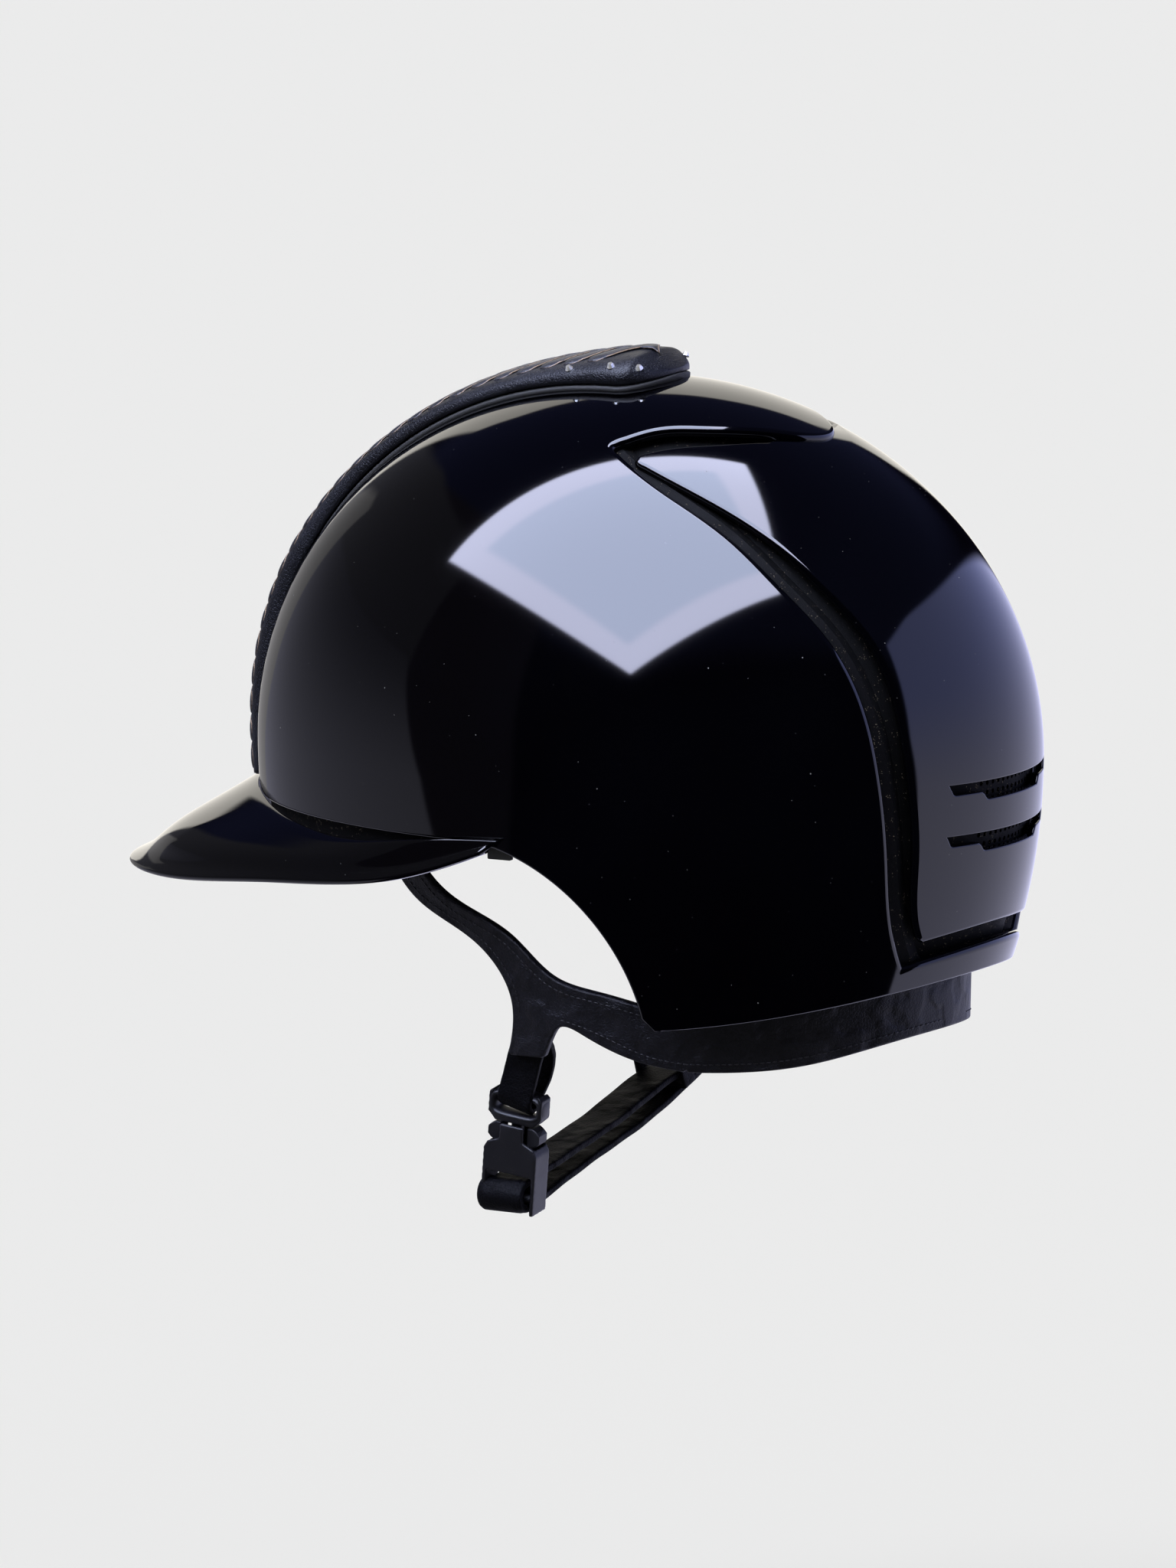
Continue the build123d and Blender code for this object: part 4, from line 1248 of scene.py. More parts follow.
@dataclass
class Crest:
    """Padded leather crest with a plait and cut stones along its top."""

    front_half: float = 8.9
    rear_half: float = 23.5
    bow: float = -3.0
    end: float = 11.8
    base: float = 2.0
    step: float = 1.2
    slope_start: float = 1.5
    slope: float = 0.62
    heights: Points = field(default_factory=lambda: [
        (-146.0, 10.2), (-134.0, 9.7), (-121.0, 8.4), (-112.0, 7.8), (-96.0, 7.1), (-79.0, 6.8), (-62.0, 6.8),
        (-44.0, 7.0), (-27.0, 7.5), (-15.0, 8.3), (-3.0, 9.2), (3.5, 9.2), (20.0, 9.2)])
    trim_width: float = 0.8
    trim_height: float = 1.9
    trim_foot: float = 0.5
    brow: float = 22.6
    strip_pitch: float = 9.3
    strip_width: float = 8.8
    plait_share: float = 0.70
    stone_radius: float = 1.5
    stones: tuple[float, ...] = (4.2, -4.8, -21.2)
    stone_share: float = 0.87
    stone_height: float = 1.3
    stone_table: float = 0.55
    seat: float = 0.2
    dome_square: float = 4.6
    dome_round: float = 2.8
    corner: float = 0.72
    end_close: float = 1.35
    slant: float = 9.5
    strip_thick: float = 0.6
    strip_under: float = 0.15
    strip_start: float = 4.0
    strip_lift: float = 0.2
    strip_lap: float = 0.5
    plait_spread: float = 0.14
    plait_lap: float = 0.10
    tail_taper: float = 0.55
    tail_share: float = 0.2
    tuck: float = 0.35
    tuck_share: float = 0.08
    bare_end: float = 13.0

    def __post_init__(self) -> None:
        """Works out the run along the crown as a table of x, z by length."""
        turns = np.linspace(-0.6, math.pi, 4000)
        x = -HALF_LENGTH * np.cos(turns)
        z = np.where(np.sin(turns) > 0, EQUATOR + UPPER_HEIGHT * np.sin(turns),
                     EQUATOR + LOWER_HEIGHT * np.sin(turns))
        keep = (z >= self.brow) & (x <= self.end - self.step)
        self.turns, self.x = turns[keep], x[keep]
        self.run = np.concatenate([[0], np.cumsum(np.hypot(np.diff(self.x), np.diff(z[keep])))])
        self.length = float(self.run[-1])
        self.height_line = smooth_line(self.heights, 200)

    def half(self, x: float) -> float:
        """Half the crest's width at a place."""
        front = self.front_half - self.step * self.front_half / self.rear_half
        rear = self.rear_half - self.step
        if x <= self.bow:
            start = -HALF_LENGTH * 1.2
            return front + (rear - front) * (x - start) / (self.bow - start)
        share = (x - self.bow) / (self.end - self.step - self.bow)
        return rear * math.sqrt(max(0.0, 1 - share * share))

    def height(self, x: float) -> float:
        """Height of the leather over the shell at a place."""
        table = self.height_line
        return float(np.interp(x, table[:, 0], table[:, 1])) - max(0.0, x - self.slope_start) * self.slope

    def point(self, run: float, across: float, height: float) -> Vector:
        """A point over the crown.

        Args:
            run: Length from the brow.
            across: Y in millimetres.
            height: Height over the shell.

        Returns:
            The point.
        """
        turn = float(np.interp(run, self.run, self.turns))
        share = math.sqrt(max(0.0, 1 - (across / HALF_WIDTH) ** 2))
        rise = UPPER_HEIGHT if math.sin(turn) > 0 else LOWER_HEIGHT
        point = Vector((-HALF_LENGTH * share * math.cos(turn), across,
                        EQUATOR + rise * share * math.sin(turn)))
        return point + Egg().normal(point) * height

    def top(self, run: float, q: float, more: float = 0.0) -> Vector:
        """A point on the leather at a share of the half width."""
        x = float(np.interp(run, self.run, self.x))
        half = self.half(x)
        rise = self.height(x) - self.base
        dome = (1 - abs(q) ** self.dome_square) ** (1 / self.dome_round)
        return self.point(run, q * half, self.base + self.seat + rise * dome + more)

    def cover(self, u: float, w: float) -> Vector:
        """The leather cover, over the top and back along its underside."""
        run = self.length * (1 - (1 - u) ** self.end_close)
        angle = w * math.tau
        if w <= 0.5:
            q = -blunted(math.cos(angle), self.corner)
            return self.top(run, max(-1.0, min(1.0, q)))
        x = float(np.interp(run, self.run, self.x))
        q = blunted(-math.cos(angle), self.corner)
        return self.point(run, q * self.half(x), self.base + self.seat)

    def trim(self, u: float, w: float) -> Vector:
        """The thin moulded edge that the leather stands on."""
        run = self.length * (1 - (1 - u) ** self.end_close)
        x = float(np.interp(run, self.run, self.x))
        half = self.half(x) + self.trim_width
        angle = w * math.tau
        q = blunted(-math.cos(angle), 0.5)
        rise = self.trim_height if math.sin(angle) > 0 else -self.trim_foot
        point = self.point(run, q * half, rise * abs(math.sin(angle)) ** 0.35 if rise > 0 else rise)
        return point + Vector((self.trim_width * u ** 40, 0, 0))

    def strip(self, start: float, way: float) -> Callable[[float, float], Vector]:
        """One plaited strip from the plait's edge over the middle.

        Returns:
            The rule for its mesh.
        """
        def place(u: float, w: float) -> Vector:
            """Length along u, round the section along w."""
            angle = w * math.tau
            across = math.cos(angle) * -0.5
            rise = math.sin(angle)
            thick = self.strip_thick if rise > 0 else self.strip_under
            x_here = float(np.interp(start, self.run, self.x))
            edge = self.plait_share + self.plait_spread * (1 - self.half(x_here) / self.rear_half)
            q = way * (edge * (1 - u) - self.plait_lap * u)
            slant = self.slant * u * (0.6 + 0.4 * self.half(x_here) / self.rear_half)
            taper = 1 - self.tail_taper * max(0.0, 1 - u / self.tail_share)
            run = start + slant + across * self.strip_width * taper
            run = max(0.0, min(self.length - 0.5, run))
            lift = self.strip_lift + self.strip_lap * (across + 0.5) * u
            return self.top(run, q, lift + rise * thick - self.tuck * (u < self.tuck_share))
        return place

    def build(self) -> None:
        """Makes the cover, the plait and the stones."""
        cover = mapped("crest_leather", 200, 72, self.cover)
        finished("crest_leather", cover, CREST_LEATHER, "helmet", "leather", ["crest_cover"])
        trim = mapped("crest_trim", 200, 40, self.trim)
        finished("crest_trim", trim, TRIM, "helmet", "trim_plastic", ["crest_base"])
        count = int((self.length - self.bare_end) / self.strip_pitch)
        strips = []
        for way in (-1.0, 1.0):
            for k in range(count):
                start = self.strip_start + (k + (0.5 if way > 0 else 0.0)) * self.strip_pitch
                strips.append(mapped(f"strip_{k}", 14, 16, self.strip(start, way)))
        plait = joined("crest_plait", strips)
        finished("crest_plait", plait, PLAIT, "helmet", "leather", ["crest_braid"])
        bm = bmesh.new()
        for x in self.stones:
            for way in (-1.0, 1.0):
                run = float(np.interp(x, self.x, self.run))
                q = way * self.stone_share
                centre = self.top(run, q, 0.1)
                out = (self.top(run, q, 2.0) - centre).normalized()
                tilt = Vector((0, 0, 1)).rotation_difference((out + Vector((0, way * 0.35, 0))).normalized())
                stand = Matrix.Translation(centre) @ tilt.to_matrix().to_4x4()
                bmesh.ops.create_cone(bm, cap_ends=True, segments=8, radius1=self.stone_radius,
                                      radius2=self.stone_radius * self.stone_table, depth=self.stone_height,
                                      matrix=stand @ Matrix.Translation((0, 0, self.stone_height / 2)))
        bmesh.ops.scale(bm, vec=(MM, MM, MM), verts=bm.verts)
        finished("crest_stones", to_object("crest_stones", bm), STONE, "helmet", "crystal",
                 ["crest_crystals"])


# The harness


@dataclass
class Harness:
    """Leather arms on both sides and the band round the nape."""

    leather: float = 2.6
    edge_round: float = 1.0
    seam: float = 3.2
    front: Points = field(default_factory=lambda: [
        (-0.520, 0.22), (-0.485, 0.06), (-0.397, -0.035), (-0.205, -0.119), (-0.118, -0.230),
        (-0.118, -0.272),
        (-0.139, -0.345)])
    foot: tuple[float, float] = (-0.036, -0.345)
    rear: Points = field(default_factory=lambda: [
        (-0.010, -0.300), (0.011, -0.278), (0.076, -0.292), (0.235, -0.344), (0.334, -0.357)])
    top: Points = field(default_factory=lambda: [
        (0.334, -0.246), (0.117, -0.199), (0.005, -0.1735), (-0.107, -0.095), (-0.296, -0.019),
        (-0.390, 0.06),
        (-0.425, 0.22)])
    nape_low: Points = field(default_factory=lambda: [(0.322, -0.357), (0.612, -0.336), (0.82, -0.284),
                                                      (1.1, -0.25)])
    nape_top: Points = field(default_factory=lambda: [(1.1, -0.085), (0.60, -0.125), (0.322, -0.140)])

    def arm(self) -> np.ndarray:
        """Side view of one leather piece."""
        front, rear, top = side(self.front), side(self.rear), side(self.top)
        foot = side([self.foot])[0]
        return np.concatenate([
            smooth_line(front, 90), smooth_line([front[-1], foot], 12)[1:-1],
            smooth_line([foot] + rear, 60), smooth_line([rear[-1], top[0]], 12)[1:-1],
            smooth_line(top, 90), smooth_line([top[-1], front[0]], 12)[1:-1]])

    def nape(self) -> np.ndarray:
        """Side view of the nape band."""
        low, top = side(self.nape_low), side(self.nape_top)
        return np.concatenate([smooth_line(low, 60), smooth_line([low[-1], top[0]], 4)[1:-1],
                               smooth_line(top, 60),
                               smooth_line([top[-1], low[0]], 16)[1:-1]])

    @staticmethod
    def inward(line: np.ndarray, distance: float) -> np.ndarray:
        """A closed outline drawn in."""
        area = np.sum(line[:, 0] * np.roll(line[:, 1], -1) - np.roll(line[:, 0], -1) * line[:, 1])
        run = np.roll(line, -1, axis=0) - np.roll(line, 1, axis=0)
        run /= np.linalg.norm(run, axis=1)[:, None] + 1e-12
        moved = line + np.stack([-run[:, 1], run[:, 0]], axis=1) * distance * (1 if area > 0 else -1)
        ends = np.roll(line, -1, axis=0) - line
        clear = []
        for point in moved:
            along = np.einsum("ij,ij->i", point - line, ends) / np.einsum("ij,ij->i", ends, ends)
            along = np.clip(along, 0, 1)
            clear.append(np.linalg.norm(line + ends * along[:, None] - point, axis=1).min() > distance * 0.97)
        return moved[np.array(clear)]

    def seam_row(self, name: str, shares: Points, way: float, inset: float) -> bpy.types.Object:
        """A row of stitches beside one edge of the leather."""
        line = smooth_line(side(shares), 160)
        run = np.gradient(line, axis=0)
        run /= np.linalg.norm(run, axis=1)[:, None]
        line = line + np.stack([-run[:, 1], run[:, 0]], axis=1) * inset
        cone = Cone()
        points = [cone.over(x, z, way, 0.05) for x, z in line if abs(x) < cone.half_length * 0.995]
        return stitches(name, points, [cone.normal(p) for p in points])

    def build(self) -> None:
        """Makes the arms, the band and their seams."""
        for way, name in ((-1.0, "left"), (1.0, "right")):
            limits = {"low": -REACH, "high": 0.0} if way < 0 else {"low": 0.0, "high": REACH}
            arm = Outline(self.inward(self.arm(), self.edge_round), radius=self.edge_round, **limits)
            piece = Skin(Cone(), self.leather, [arm], steps=5).piece(f"harness_{name}_leather")
            finished(f"harness_{name}_leather", piece, LEATHER, "helmet", "leather", [f"harness_{name}"])
            rows = [self.seam_row("row", self.front[1:-1], way, self.seam),
                    self.seam_row("row", self.rear[1:], way, self.seam),
                    self.seam_row("row", self.top[:-1], way, self.seam)]
            finished(f"harness_{name}_seams", joined(f"harness_{name}_seams", rows), THREAD, "helmet",
                     "leather")
        band = Outline(self.inward(self.nape(), self.edge_round), radius=self.edge_round)
        piece = Skin(Cone(), self.leather, [band], steps=5).piece("nape_leather")
        finished("nape_leather", piece, LEATHER, "helmet", "leather", ["nape_band"])
        rows = []
        for way in (-1.0, 1.0):
            rows.append(self.seam_row("row", self.nape_low, way, self.seam))
            rows.append(self.seam_row("row", self.nape_top, way, self.seam))
        finished("nape_seams", joined("nape_seams", rows), THREAD, "helmet", "leather")


# The chin strap and its buckle


@dataclass
class ChinStrap:
    """Leather straps that hold the buckle, and the buckle's own finish."""

    spot: tuple[float, float, float] = (-0.157, -0.532, -0.555)
    lean_forward: float = 8.0
    lean_in: float = 7.5
    leg_bar: float = 20.6
    leg_lean_forward: float = 17.0
    leg_lean_in: float = 3.5
    leg_width: float = 13.0
    leg_thick: float = 2.4
    leg_loop: float = 2.5
    leg_length: float = 26.0
    right_low: float = 13.5
    bar_drop: float = 15.3
    bar_forward: float = 2.0
    turn_deg: float = 5.5
    width: float = 15.0
    thick: float = 2.8
    loop: float = 4.4
    slope_deg: float = 14.9
    run: Points = field(default_factory=lambda: [
        (0.591, -0.352), (0.576, -0.406), (0.509, -0.444), (0.345, -0.4765), (0.0, -0.539)])
    tail: Points = field(default_factory=lambda: [(-0.345, -0.6365), (0.0, -0.580), (0.345, -0.515),
                                                  (0.482, -0.480)])
    ring_half: float = 9.2
    ring_middle: float = 17.4
    ring_rise: float = 4.1
    ring_thick: float = 1.5
    ring_depth: float = 3.7
    ring_square: float = 0.55
    roll_front: float = -11.0
    roll_rear: float = 6.2
    roll_radius: float = 6.1
    roll_section: tuple[tuple[float, float], ...] = (
        (-1.0, 0.0), (-1.0, 0.62), (-0.93, 0.9), (-0.8, 1.0), (0.8, 1.0), (0.94, 0.95), (1.0, 0.82),
        (0.97, 0.66),
        (0.8, 0.58), (0.45, 0.55), (0.40, 0.0))

    def buckle(self) -> Matrix:
        """Place and lean of the buckle."""
        spot = Vector((self.spot[0] * HALF_LENGTH, self.spot[1] * HALF_WIDTH, self.spot[2] * CROWN))
        return (Matrix.Translation(spot) @ Matrix.Rotation(math.radians(self.lean_forward), 4, "Y")
                @ Matrix.Rotation(math.radians(self.lean_in), 4, "X"))

    def leg(self) -> Matrix:
        """Place and lean of the left leg strap."""
        centre = self.buckle() @ Vector((0, 0, self.leg_bar))
        return (Matrix.Translation(centre) @ Matrix.Rotation(math.radians(self.leg_lean_forward), 4, "Y")
                @ Matrix.Rotation(math.radians(self.leg_lean_in), 4, "X"))

    def chin(self) -> Matrix:
        """Place of the chin strap."""
        centre = self.buckle() @ Vector((0, -self.bar_forward, -self.bar_drop))
        return Matrix.Translation(centre) @ Matrix.Rotation(math.radians(-self.turn_deg), 4, "Z")

    @staticmethod
    def strap(name: str, path: np.ndarray, stand: Matrix, width: float, thick: float, segments: int,
              wave: float = 0.0) -> bpy.types.Object:
        """A flat strap along a path of depth and height.

        Args:
            name: Name of the object.
            path: Points of depth and height in the strap's frame.
            stand: The frame.
            width: Width across the path.
            thick: Thickness of the leather.
            segments: Faces along the path.
            wave: Height of its creases.

        Returns:
            The object.
        """
        line = evenly(path, segments + 1)
        run = np.gradient(line, axis=0)
        run /= np.linalg.norm(run, axis=1)[:, None]

        def place(u: float, w: float) -> Vector:
            """Round the strap's section."""
            k = min(segments, round(u * segments))
            angle = w * math.tau
            across = blunted(math.cos(angle), 0.16) * width / 2
            off = blunted(math.sin(angle), 0.5) * thick / 2
            off += wave * math.sin(u * 61.0 + across * 0.5) * math.sin(u * 23.0 + 1.0) * 0.5
            y, z = line[k]
            return stand @ Vector((across, y - run[k, 1] * off, z + run[k, 0] * off))
        return mapped(name, segments, 48, place)

    def ring(self, u: float, w: float) -> Vector:
        """The plug's rounded ring, which the leg strap goes through."""
        turn, angle = u * math.tau, w * math.tau
        cos, sin = math.cos(turn), math.sin(turn)
        centre = Vector((blunted(cos, self.ring_square) * self.ring_half, 0.0,
                         self.ring_middle + blunted(sin, self.ring_square) * self.ring_rise))
        out = Vector((cos, 0.0, sin))
        deep = blunted(math.sin(angle), 0.7) * self.ring_depth
        return self.buckle() @ (centre + out * (math.cos(angle) * self.ring_thick) + Vector((0.0, deep, 0.0)))

    def roll(self, u: float, w: float) -> Vector:
        """The strap's leather rolled round the socket's bar, hollow at its rear end."""
        ends = np.array(self.roll_section)
        at = np.linspace(0, 1, len(ends))
        along = float(np.interp(u, at, ends[:, 0]))
        radius = max(0.02, float(np.interp(u, at, ends[:, 1]))) * self.roll_radius
        x = self.roll_front + (self.roll_rear - self.roll_front) * (along + 1) / 2
        angle = w * math.tau
        return self.chin() @ Vector((x, radius * math.cos(angle), radius * math.sin(angle)))

    def left_path(self) -> np.ndarray:
        """Down the front, round the bar and back up to the seam."""
        radius = self.leg_loop + self.leg_thick / 2
        front = np.array([(-radius, self.leg_length), (-radius, 0.0)])
        turns = np.linspace(0, math.pi, 24)[1:]
        arc = np.array([(-radius * math.cos(turn), -radius * math.sin(turn)) for turn in turns])
        back = smooth_line([(radius, 0.0), (radius + 3.9, self.leg_length / 3),
                            (radius + 2.2, self.leg_length * 0.62),
                            (-radius + self.leg_thick + 0.3, self.leg_length - self.leg_thick)], 30)[1:]
        return np.concatenate([front, arc, back])

    def chin_path(self) -> np.ndarray:
        """Across the chin, round the socket's bar and back under itself."""
        centre = self.chin().translation
        run = [(y * HALF_WIDTH - centre.y, z * CROWN - centre.z) for y, z in self.run]
        tail = [(y * HALF_WIDTH - centre.y, z * CROWN - centre.z) for y, z in self.tail]
        slope = math.radians(self.slope_deg)
        away = np.array((math.cos(slope), math.sin(slope))) * self.loop
        over = np.array((-away[1], away[0]))
        start = math.atan2(over[1], over[0])
        arc = np.array([(self.loop * math.cos(start + a), self.loop * math.sin(start + a))
                        for a in np.linspace(0, math.pi, 30)])
        return np.concatenate([smooth_line(run + [tuple(over + away), tuple(over)], 120), arc[1:],
                               smooth_line([tuple(-over), tuple(away - over)] + tail, 120)[1:]])

    def build(self) -> None:
        """Makes the straps and finishes the buckle."""
        leg = self.strap("leg_strap_left", self.left_path(), self.leg(), self.leg_width, self.leg_thick, 90,
                         0.25)
        finished("leg_strap_left", leg, STRAP_LEATHER, "chin", "leather", ["chin_leg_left"])
        radius = self.leg_loop + self.leg_thick / 2
        flip = Matrix.Diagonal((1, -1, 1, 1))
        off = self.leg_thick * 2 - radius
        path = np.array([(off, self.right_low), (off, self.leg_length)])
        leg = self.strap("leg_strap_right", path, flip @ self.leg(), self.leg_width, self.leg_thick, 30, 0.1)
        finished("leg_strap_right", leg, STRAP_LEATHER, "chin", "leather", ["chin_leg_right"])
        ring = mapped("buckle_ring", 96, 32, self.ring)
        finished("buckle_ring", ring, BUCKLE, "chin", "buckle")
        roll = mapped("strap_roll", 64, 48, self.roll)
        finished("strap_roll", roll, STRAP_LEATHER, "strap", "leather")
        chin = self.strap("chin_strap_leather", self.chin_path(), self.chin(), self.width, self.thick, 260,
                          0.35)
        finished("chin_strap_leather", chin, STRAP_LEATHER, "strap", "leather", ["chin_strap"])


def soften(node: str, width: float) -> None:
    """Rounds the edges of a CAD node that stays, without changing its mesh.

    Args:
        node: The node's name.
        width: Width of the rounding in millimetres.
    """
    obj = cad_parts[node]
    weld = obj.modifiers.new("weld", "WELD")
    weld.merge_threshold = 2e-6
    bevel = obj.modifiers.new("edges", "BEVEL")
    bevel.width, bevel.segments, bevel.limit_method = width * MM, 3, "ANGLE"
    bevel.angle_limit = math.radians(35)
    bevel.harden_normals = False


def remeshed(node: str, voxel: float, rounds: int) -> bmesh.types.BMesh:
    """A copy of a CAD node with soft edges.

    Args:
        node: The node's name.
        voxel: Size of the new mesh's faces, in millimetres.
        rounds: How often it is smoothed.

    Returns:
        The mesh, in metres.
    """
    bm = bmesh.new()
    bm.from_mesh(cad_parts[node].data)
    bmesh.ops.remove_doubles(bm, verts=bm.verts, dist=1e-6)
    blank = to_object("blank", bm)
    remesh = blank.modifiers.new("remesh", "REMESH")
    remesh.mode, remesh.voxel_size = "VOXEL", voxel * MM
    soft = blank.modifiers.new("soft", "SMOOTH")
    soft.factor, soft.iterations = 0.5, rounds
    mesh = applied(blank)
    drop(blank)
    bm = bmesh.new()
    bm.from_mesh(mesh)
    bpy.data.meshes.remove(mesh)
    for face in bm.faces:
        face.smooth = True
    return bm


@dataclass
class Moulded:
    """The buckle's two housings and the keeper, with soft edges."""

    voxel: float = 0.36
    rounds: int = 10
    keeper_shift: tuple[float, float, float] = (0.0, 2.2, 6.0)
    pieces: tuple[tuple[str, str, Finish, str], ...] = (
        ("buckle_plug", "chin", BUCKLE, "buckle"),
        ("buckle_socket", "strap", BUCKLE, "buckle"),
        ("strap_keeper", "strap", STRAP_LEATHER, "leather"))

    def build(self) -> None:
        """Makes the plug, the socket and the strap's keeper."""
        for node, body, finish, slot in self.pieces:
            bm = remeshed(node, self.voxel, self.rounds)
            if node == "strap_keeper":
                bmesh.ops.translate(bm, vec=Vector(self.keeper_shift) * MM, verts=bm.verts)
            finished(f"{node}_body", to_object(node, bm), finish, body, slot, [node])


@dataclass
class Linings:
    """Stuffed pads and the head band inside the shell."""

    voxel: float = 2.6
    rounds: int = 6
    pads: tuple[tuple[str, str], ...] = (
        ("head_band", "head_band_pad"), ("crown_pad", "crown_pad_cloth"), ("nape_pad", "nape_pad_cloth"))

    def build(self) -> None:
        """Makes the three pads."""
        for node, name in self.pads:
            piece = to_object(name, remeshed(node, self.voxel, self.rounds))
            finished(name, piece, LINING, "helmet", "lining", [node])


def dress_nodes() -> None:
    """Gives every CAD node that stays its finish."""
    finishes = {
        "vent_tray": TRAY, "rear_grille": TRAY, "peak_clips": TRIM, "intake_mesh": TRAY,
        "shock_liner": FOAM, "crown_liner": FOAM, "liner_snaps": METAL, "nape_eyelets": METAL,
        "harness_anchors": METAL, "prong_front": BUCKLE, "prong_rear": BUCKLE}
    for node, finish in finishes.items():
        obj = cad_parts[node]
        material = finish.make()
        if obj.data.materials:
            for slot in obj.material_slots:
                slot.link = "OBJECT"
                slot.material = material
        else:
            obj.data.materials.append(material)
    for node in ("prong_front", "prong_rear"):
        soften(node, 0.7)
    soften("peak_clips", 0.4)


# Studio


Tint = tuple[float, float, float]


def way_of(azimuth: float, elevation: float) -> Vector:
    """Direction for an azimuth counted from -Y towards +X, and an elevation, in degrees."""
    a, e = math.radians(azimuth), math.radians(elevation)
    return Vector((math.sin(a) * math.cos(e), -math.cos(a) * math.cos(e), math.sin(e)))


@dataclass(frozen=True)
class RoomPanel:
    """A convex panel of the studio that the lacquer mirrors."""

    name: str
    corners: tuple[tuple[float, float], ...]
    high: Tint
    low: Tint | None = None
    soft: float = 0.012
    rise: tuple[float, float] = (-0.3, 0.35)

    def planes(self) -> list[Vector]:
        """Planes through the helmet and each side of the panel, facing into it."""
        points = [way_of(*corner) for corner in self.corners]
        middle = sum(points, Vector()).normalized()
        planes = []
        for first, second in zip(points, points[1:] + points[:1]):
            plane = first.cross(second).normalized()
            planes.append(plane if plane.dot(middle) > 0 else -plane)
        return planes

    def paint(self, graph: Graph, way: Val, behind: object) -> Val:
        """Lays the panel over what is behind it.

        Args:
            graph: The world's nodes.
            way: The ray's direction.
            behind: Colour of the room behind the panel.

        Returns:
            The colour with the panel.
        """
        inside = None
        for plane in self.planes():
            dot = graph.value("ShaderNodeVectorMath", "Value", {"operation": "DOT_PRODUCT"}, input_0=way,
                              input_1=tuple(plane))
            part = dot.ramp(-self.soft, self.soft)
            inside = part if inside is None else inside * part
        colour: object = (*self.high, 1.0)
        if self.low is not None:
            height = graph.value("ShaderNodeSeparateXYZ", 2, Vector=way)
            colour = graph.mix(height.ramp(*self.rise), (*self.low, 1.0), colour)
        return graph.mix(inside, behind, colour)


ROOM = (
    RoomPanel("ceiling", ((-169.4, 13.1), (-91.2, 23.5), (0.1, 24.7), (95.4, 24.2)), (0.026, 0.030, 0.075),
              soft=0.12),
    RoomPanel("side_wall",
              ((-64.3, 48.2), (-41.5, 45.7), (-25.5, 30.6), (-25.2, -8.1), (-38.4, -44.4), (-99.8, -59.4),
               (-102.3, 38.9)),
              (0.036, 0.032, 0.044), soft=0.02),
    RoomPanel("screen", ((-141.9, 13.9), (-129.1, 27.3), (-114.3, 34.8), (-99.5, 41.8), (-86.6, 46.0),
                         (-72.4, 47.4), (-57.5, 40.2), (-56.4, -0.2),
                         (-99.7, -49.1), (-141.1, -23.7)), (0.078, 0.078, 0.094), soft=0.015),
    RoomPanel("left_wall",
              ((-146.8, 0.6), (-119.3, 16.8), (-105.2, 18.2), (-85.1, 22.1), (-59.8, 23.0), (-53.4, 3.9),
               (-46.3, -14.0), (-44.4, -49.3),
                            (-109.8, -64.7), (-149.0, -32.7)), (0.085, 0.085, 0.108), (0.36, 0.36, 0.45),
                            0.012, (-0.28, 0.36)),
    RoomPanel("left_flag",
              ((-147.2, -6.5), (-134.2, 9.4), (-123.5, 18.0), (-114.4, 20.3), (-109.8, 18.6), (-108.6, 14.7),
                            (-122.8, -3.4), (-128.6, -30.0), (-148.3, -33.0)), (0.24, 0.235, 0.24),
                            (0.42, 0.41, 0.42), 0.012),
    RoomPanel("right_wall",
              ((88.1, 31.6), (106.9, 35.9), (126.4, 35.6), (160.0, 23.1), (188.0, 6.0), (207.0, -10.0),
               (206.0, -60.0),
                             (117.4, -69.3), (92.4, -30.1), (85.7, 5.0)), (0.62, 0.70, 1.42),
                             (1.0, 1.0, 1.36), 0.012),
    RoomPanel("backdrop", ((-144.4, -12.5), (-139.0, 4.0), (-134.7, 10.6), (-129.3, 22.6), (-128.5, 27.8),
                           (-133.1, 33.8),
                           (-145.5, 36.2), (-160.2, 32.4), (-168.0, 25.2), (-167.0, 9.5), (-158.0, -7.0)),
              (1.25, 1.20, 1.10), soft=0.014),
    RoomPanel("softbox_rim", ((-66.2, 36.7), (0.8, 23.0), (52.0, 50.8), (174.3, 71.8)), (11.6, 12.1, 16.2),
              soft=0.008),
    RoomPanel("softbox", ((-58.7, 43.3), (-1.0, 30.9), (48.5, 58.1), (182.3, 81.2)), (9.4, 10.6, 14.6),
              soft=0.02),
)


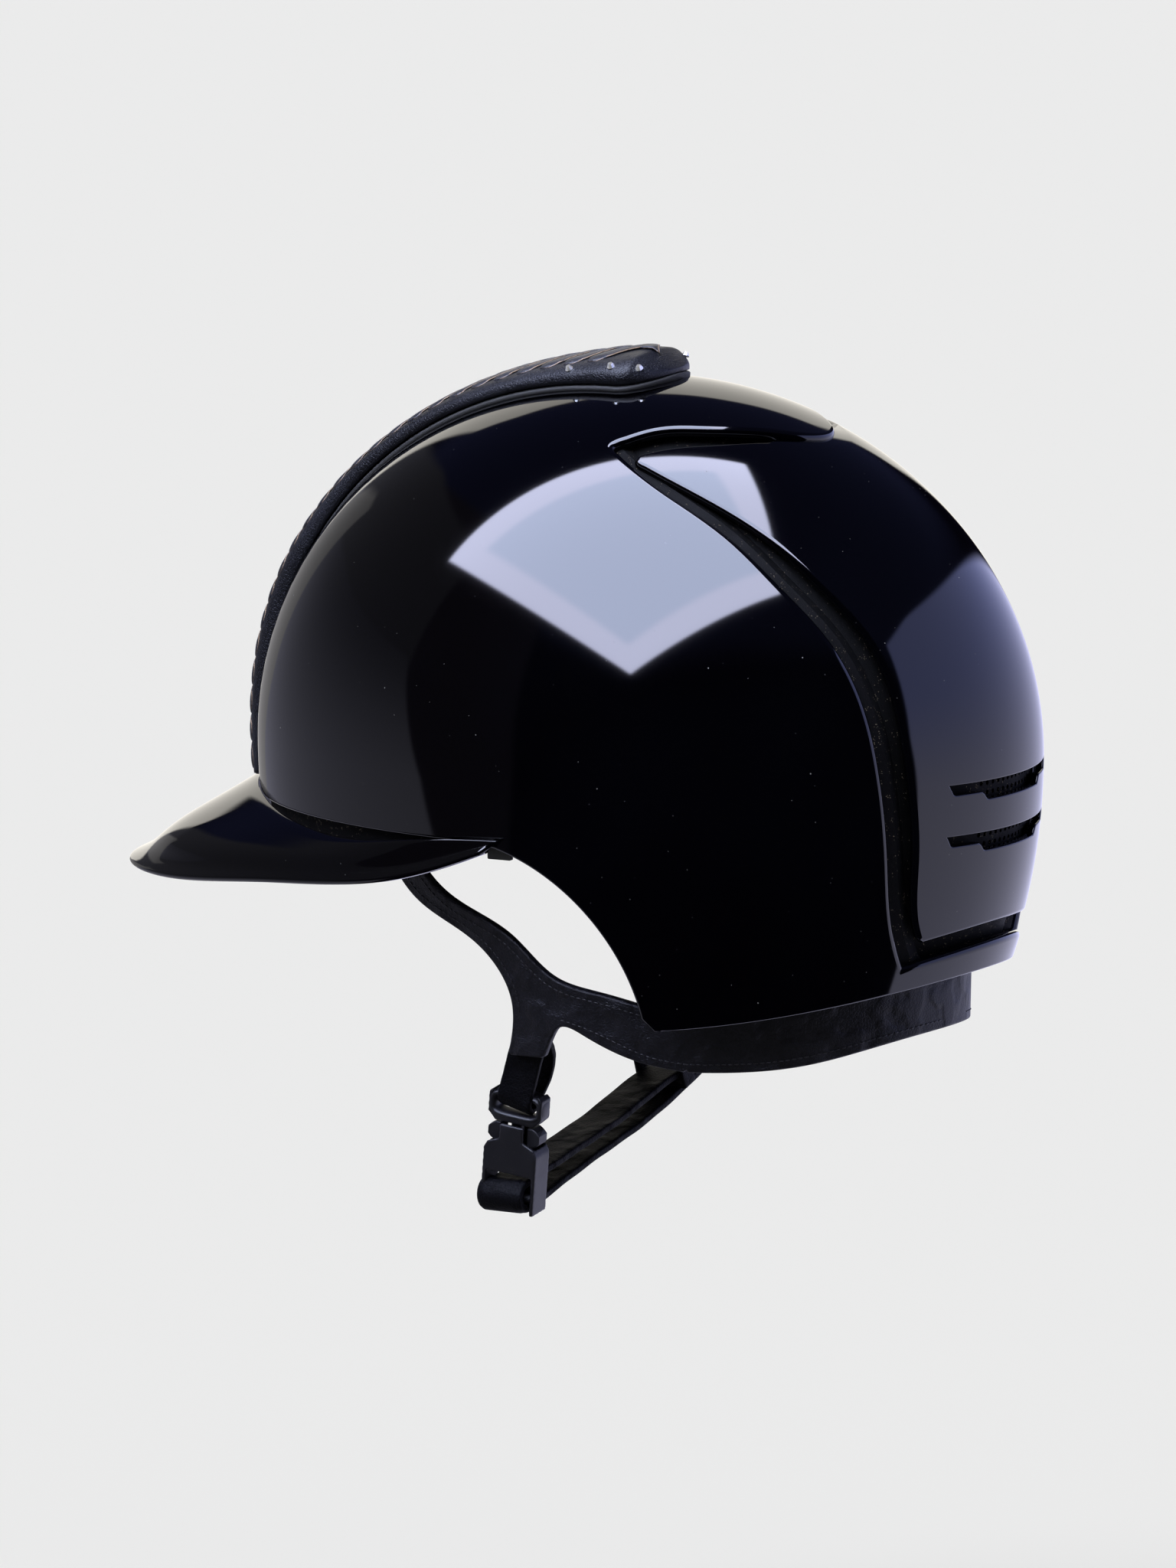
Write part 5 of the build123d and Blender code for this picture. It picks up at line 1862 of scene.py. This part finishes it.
@dataclass
class Studio:
    """Camera, lamps, backdrop and the room that shows in the lacquer."""

    scale: float = 0.265 * MM
    origin_px: tuple[float, float] = (850.0, 1126.0)
    size_px: tuple[float, float] = (1536.0, 2048.0)
    azimuth: float = 27.0
    elevation: float = 9.0
    distance: float = 8.0
    sensor: float = 36.0
    backdrop: float = 0.831
    ambient: float = 0.42
    floor_drop: float = 0.34
    lamp_list: tuple = (("key", (-0.144, -0.528, 0.837), 1.7, 40.0), ("rear", (0.62, 0.70, 0.35), 0.55, 40.0))
    corner: Tint = (0.0025, 0.002, 0.006)

    def camera(self) -> None:
        """Puts the camera where the photograph was taken from."""
        a, e = math.radians(self.azimuth), math.radians(self.elevation)
        right = Vector((math.cos(a), math.sin(a), 0))
        up = Vector((-math.sin(a) * math.sin(e), math.cos(a) * math.sin(e), math.cos(e)))
        back = Vector((math.sin(a) * math.cos(e), -math.cos(a) * math.cos(e), math.sin(e)))
        aim = (right * (self.size_px[0] / 2 - self.origin_px[0]) * self.scale
               + up * (self.origin_px[1] - self.size_px[1] / 2) * self.scale)
        data = bpy.data.cameras.new("camera")
        data.sensor_width = self.sensor
        data.lens = self.sensor / 2 / (self.size_px[1] / 2 * self.scale / self.distance)
        data.clip_start, data.clip_end = 0.01, 50.0
        camera = bpy.data.objects.new("camera", data)
        camera.location = aim + back * self.distance
        camera.rotation_mode = "QUATERNION"
        camera.rotation_quaternion = (-back).to_track_quat("-Z", "Y")
        bpy.context.scene.collection.objects.link(camera)
        bpy.context.scene.camera = camera

    def world(self) -> None:
        """Plain soft light, with the room for mirror rays and white for the camera."""
        world = bpy.data.worlds.new("studio")
        bpy.context.scene.world = world
        world.use_nodes = True
        graph = Graph(world.node_tree)
        way = graph.value("ShaderNodeTexCoord", "Generated")
        room: object = (*self.corner, 1.0)
        for panel in ROOM:
            room = panel.paint(graph, way, room)
        path = graph.node("ShaderNodeLightPath")
        plain = graph.node("ShaderNodeBackground", Color=grey(self.ambient))
        mirror = graph.node("ShaderNodeBackground", Color=room)
        white = graph.node("ShaderNodeBackground", Color=grey(self.backdrop))
        lit = graph.node("ShaderNodeMixShader", input_0=path.outputs["Is Glossy Ray"],
                         input_1=plain.outputs[0],
                         input_2=mirror.outputs[0])
        seen = graph.math("MAXIMUM", path.outputs["Is Camera Ray"], path.outputs["Is Transmission Ray"])
        shown = graph.node("ShaderNodeMixShader", input_0=seen, input_1=lit.outputs[0],
                           input_2=white.outputs[0])
        graph.node("ShaderNodeOutputWorld", Surface=shown.outputs[0])

    def lamps(self) -> None:
        """A soft lamp over the left front and a weaker one at the right rear."""
        for name, way, strength, spread in self.lamp_list:
            data = bpy.data.lights.new(name, "SUN")
            data.energy, data.angle = strength, math.radians(spread)
            lamp = bpy.data.objects.new(name, data)
            lamp.location = Vector(way).normalized() * 2.0
            lamp.rotation_mode = "QUATERNION"
            lamp.rotation_quaternion = (-Vector(way)).to_track_quat("-Z", "Y")
            lamp.visible_glossy = False
            bpy.context.scene.collection.objects.link(lamp)

    def floor(self) -> None:
        """Pale floor that renders like the backdrop, keeps the shadow and is clear from below."""
        bm = bmesh.new()
        bmesh.ops.create_grid(bm, x_segments=4, y_segments=4, size=12.0)
        bmesh.ops.translate(bm, vec=(0, 0, -self.floor_drop), verts=bm.verts)
        floor = to_object("floor", bm)
        material = bpy.data.materials.new("floor_paint")
        material.use_nodes = True
        graph = Graph(material.node_tree)
        lamps = sum(strength * Vector(way).normalized().z for _, way, strength, _ in self.lamp_list)
        light = self.ambient + lamps / math.pi
        matt = graph.node("ShaderNodeBsdfDiffuse", Color=grey(self.backdrop / light))
        clear = graph.node("ShaderNodeBsdfTransparent")
        path = graph.node("ShaderNodeLightPath")
        under = graph.value("ShaderNodeNewGeometry", "Backfacing")
        hidden = graph.math("MAXIMUM", under, path.outputs["Is Glossy Ray"])
        shown = graph.node("ShaderNodeMixShader", input_0=hidden, input_1=matt.outputs[0],
                           input_2=clear.outputs[0])
        graph.node("ShaderNodeOutputMaterial", Surface=shown.outputs[0])
        floor.data.materials.append(material)

    def build(self) -> None:
        """Sets up the whole studio."""
        self.camera()
        self.world()
        self.lamps()
        self.floor()
        bpy.context.scene.view_settings.view_transform = "Standard"


def main() -> None:
    """Builds the studio and every sub-assembly in order, and notes the sizes."""
    logging.basicConfig(level=logging.INFO, format="%(message)s")
    Studio().build()
    for part in (HeadShell(), Peak(), Crest(), Harness(), ChinStrap(), Moulded(), Linings()):
        part.build()
    dress_nodes()


if __name__ == "__main__":
    main()
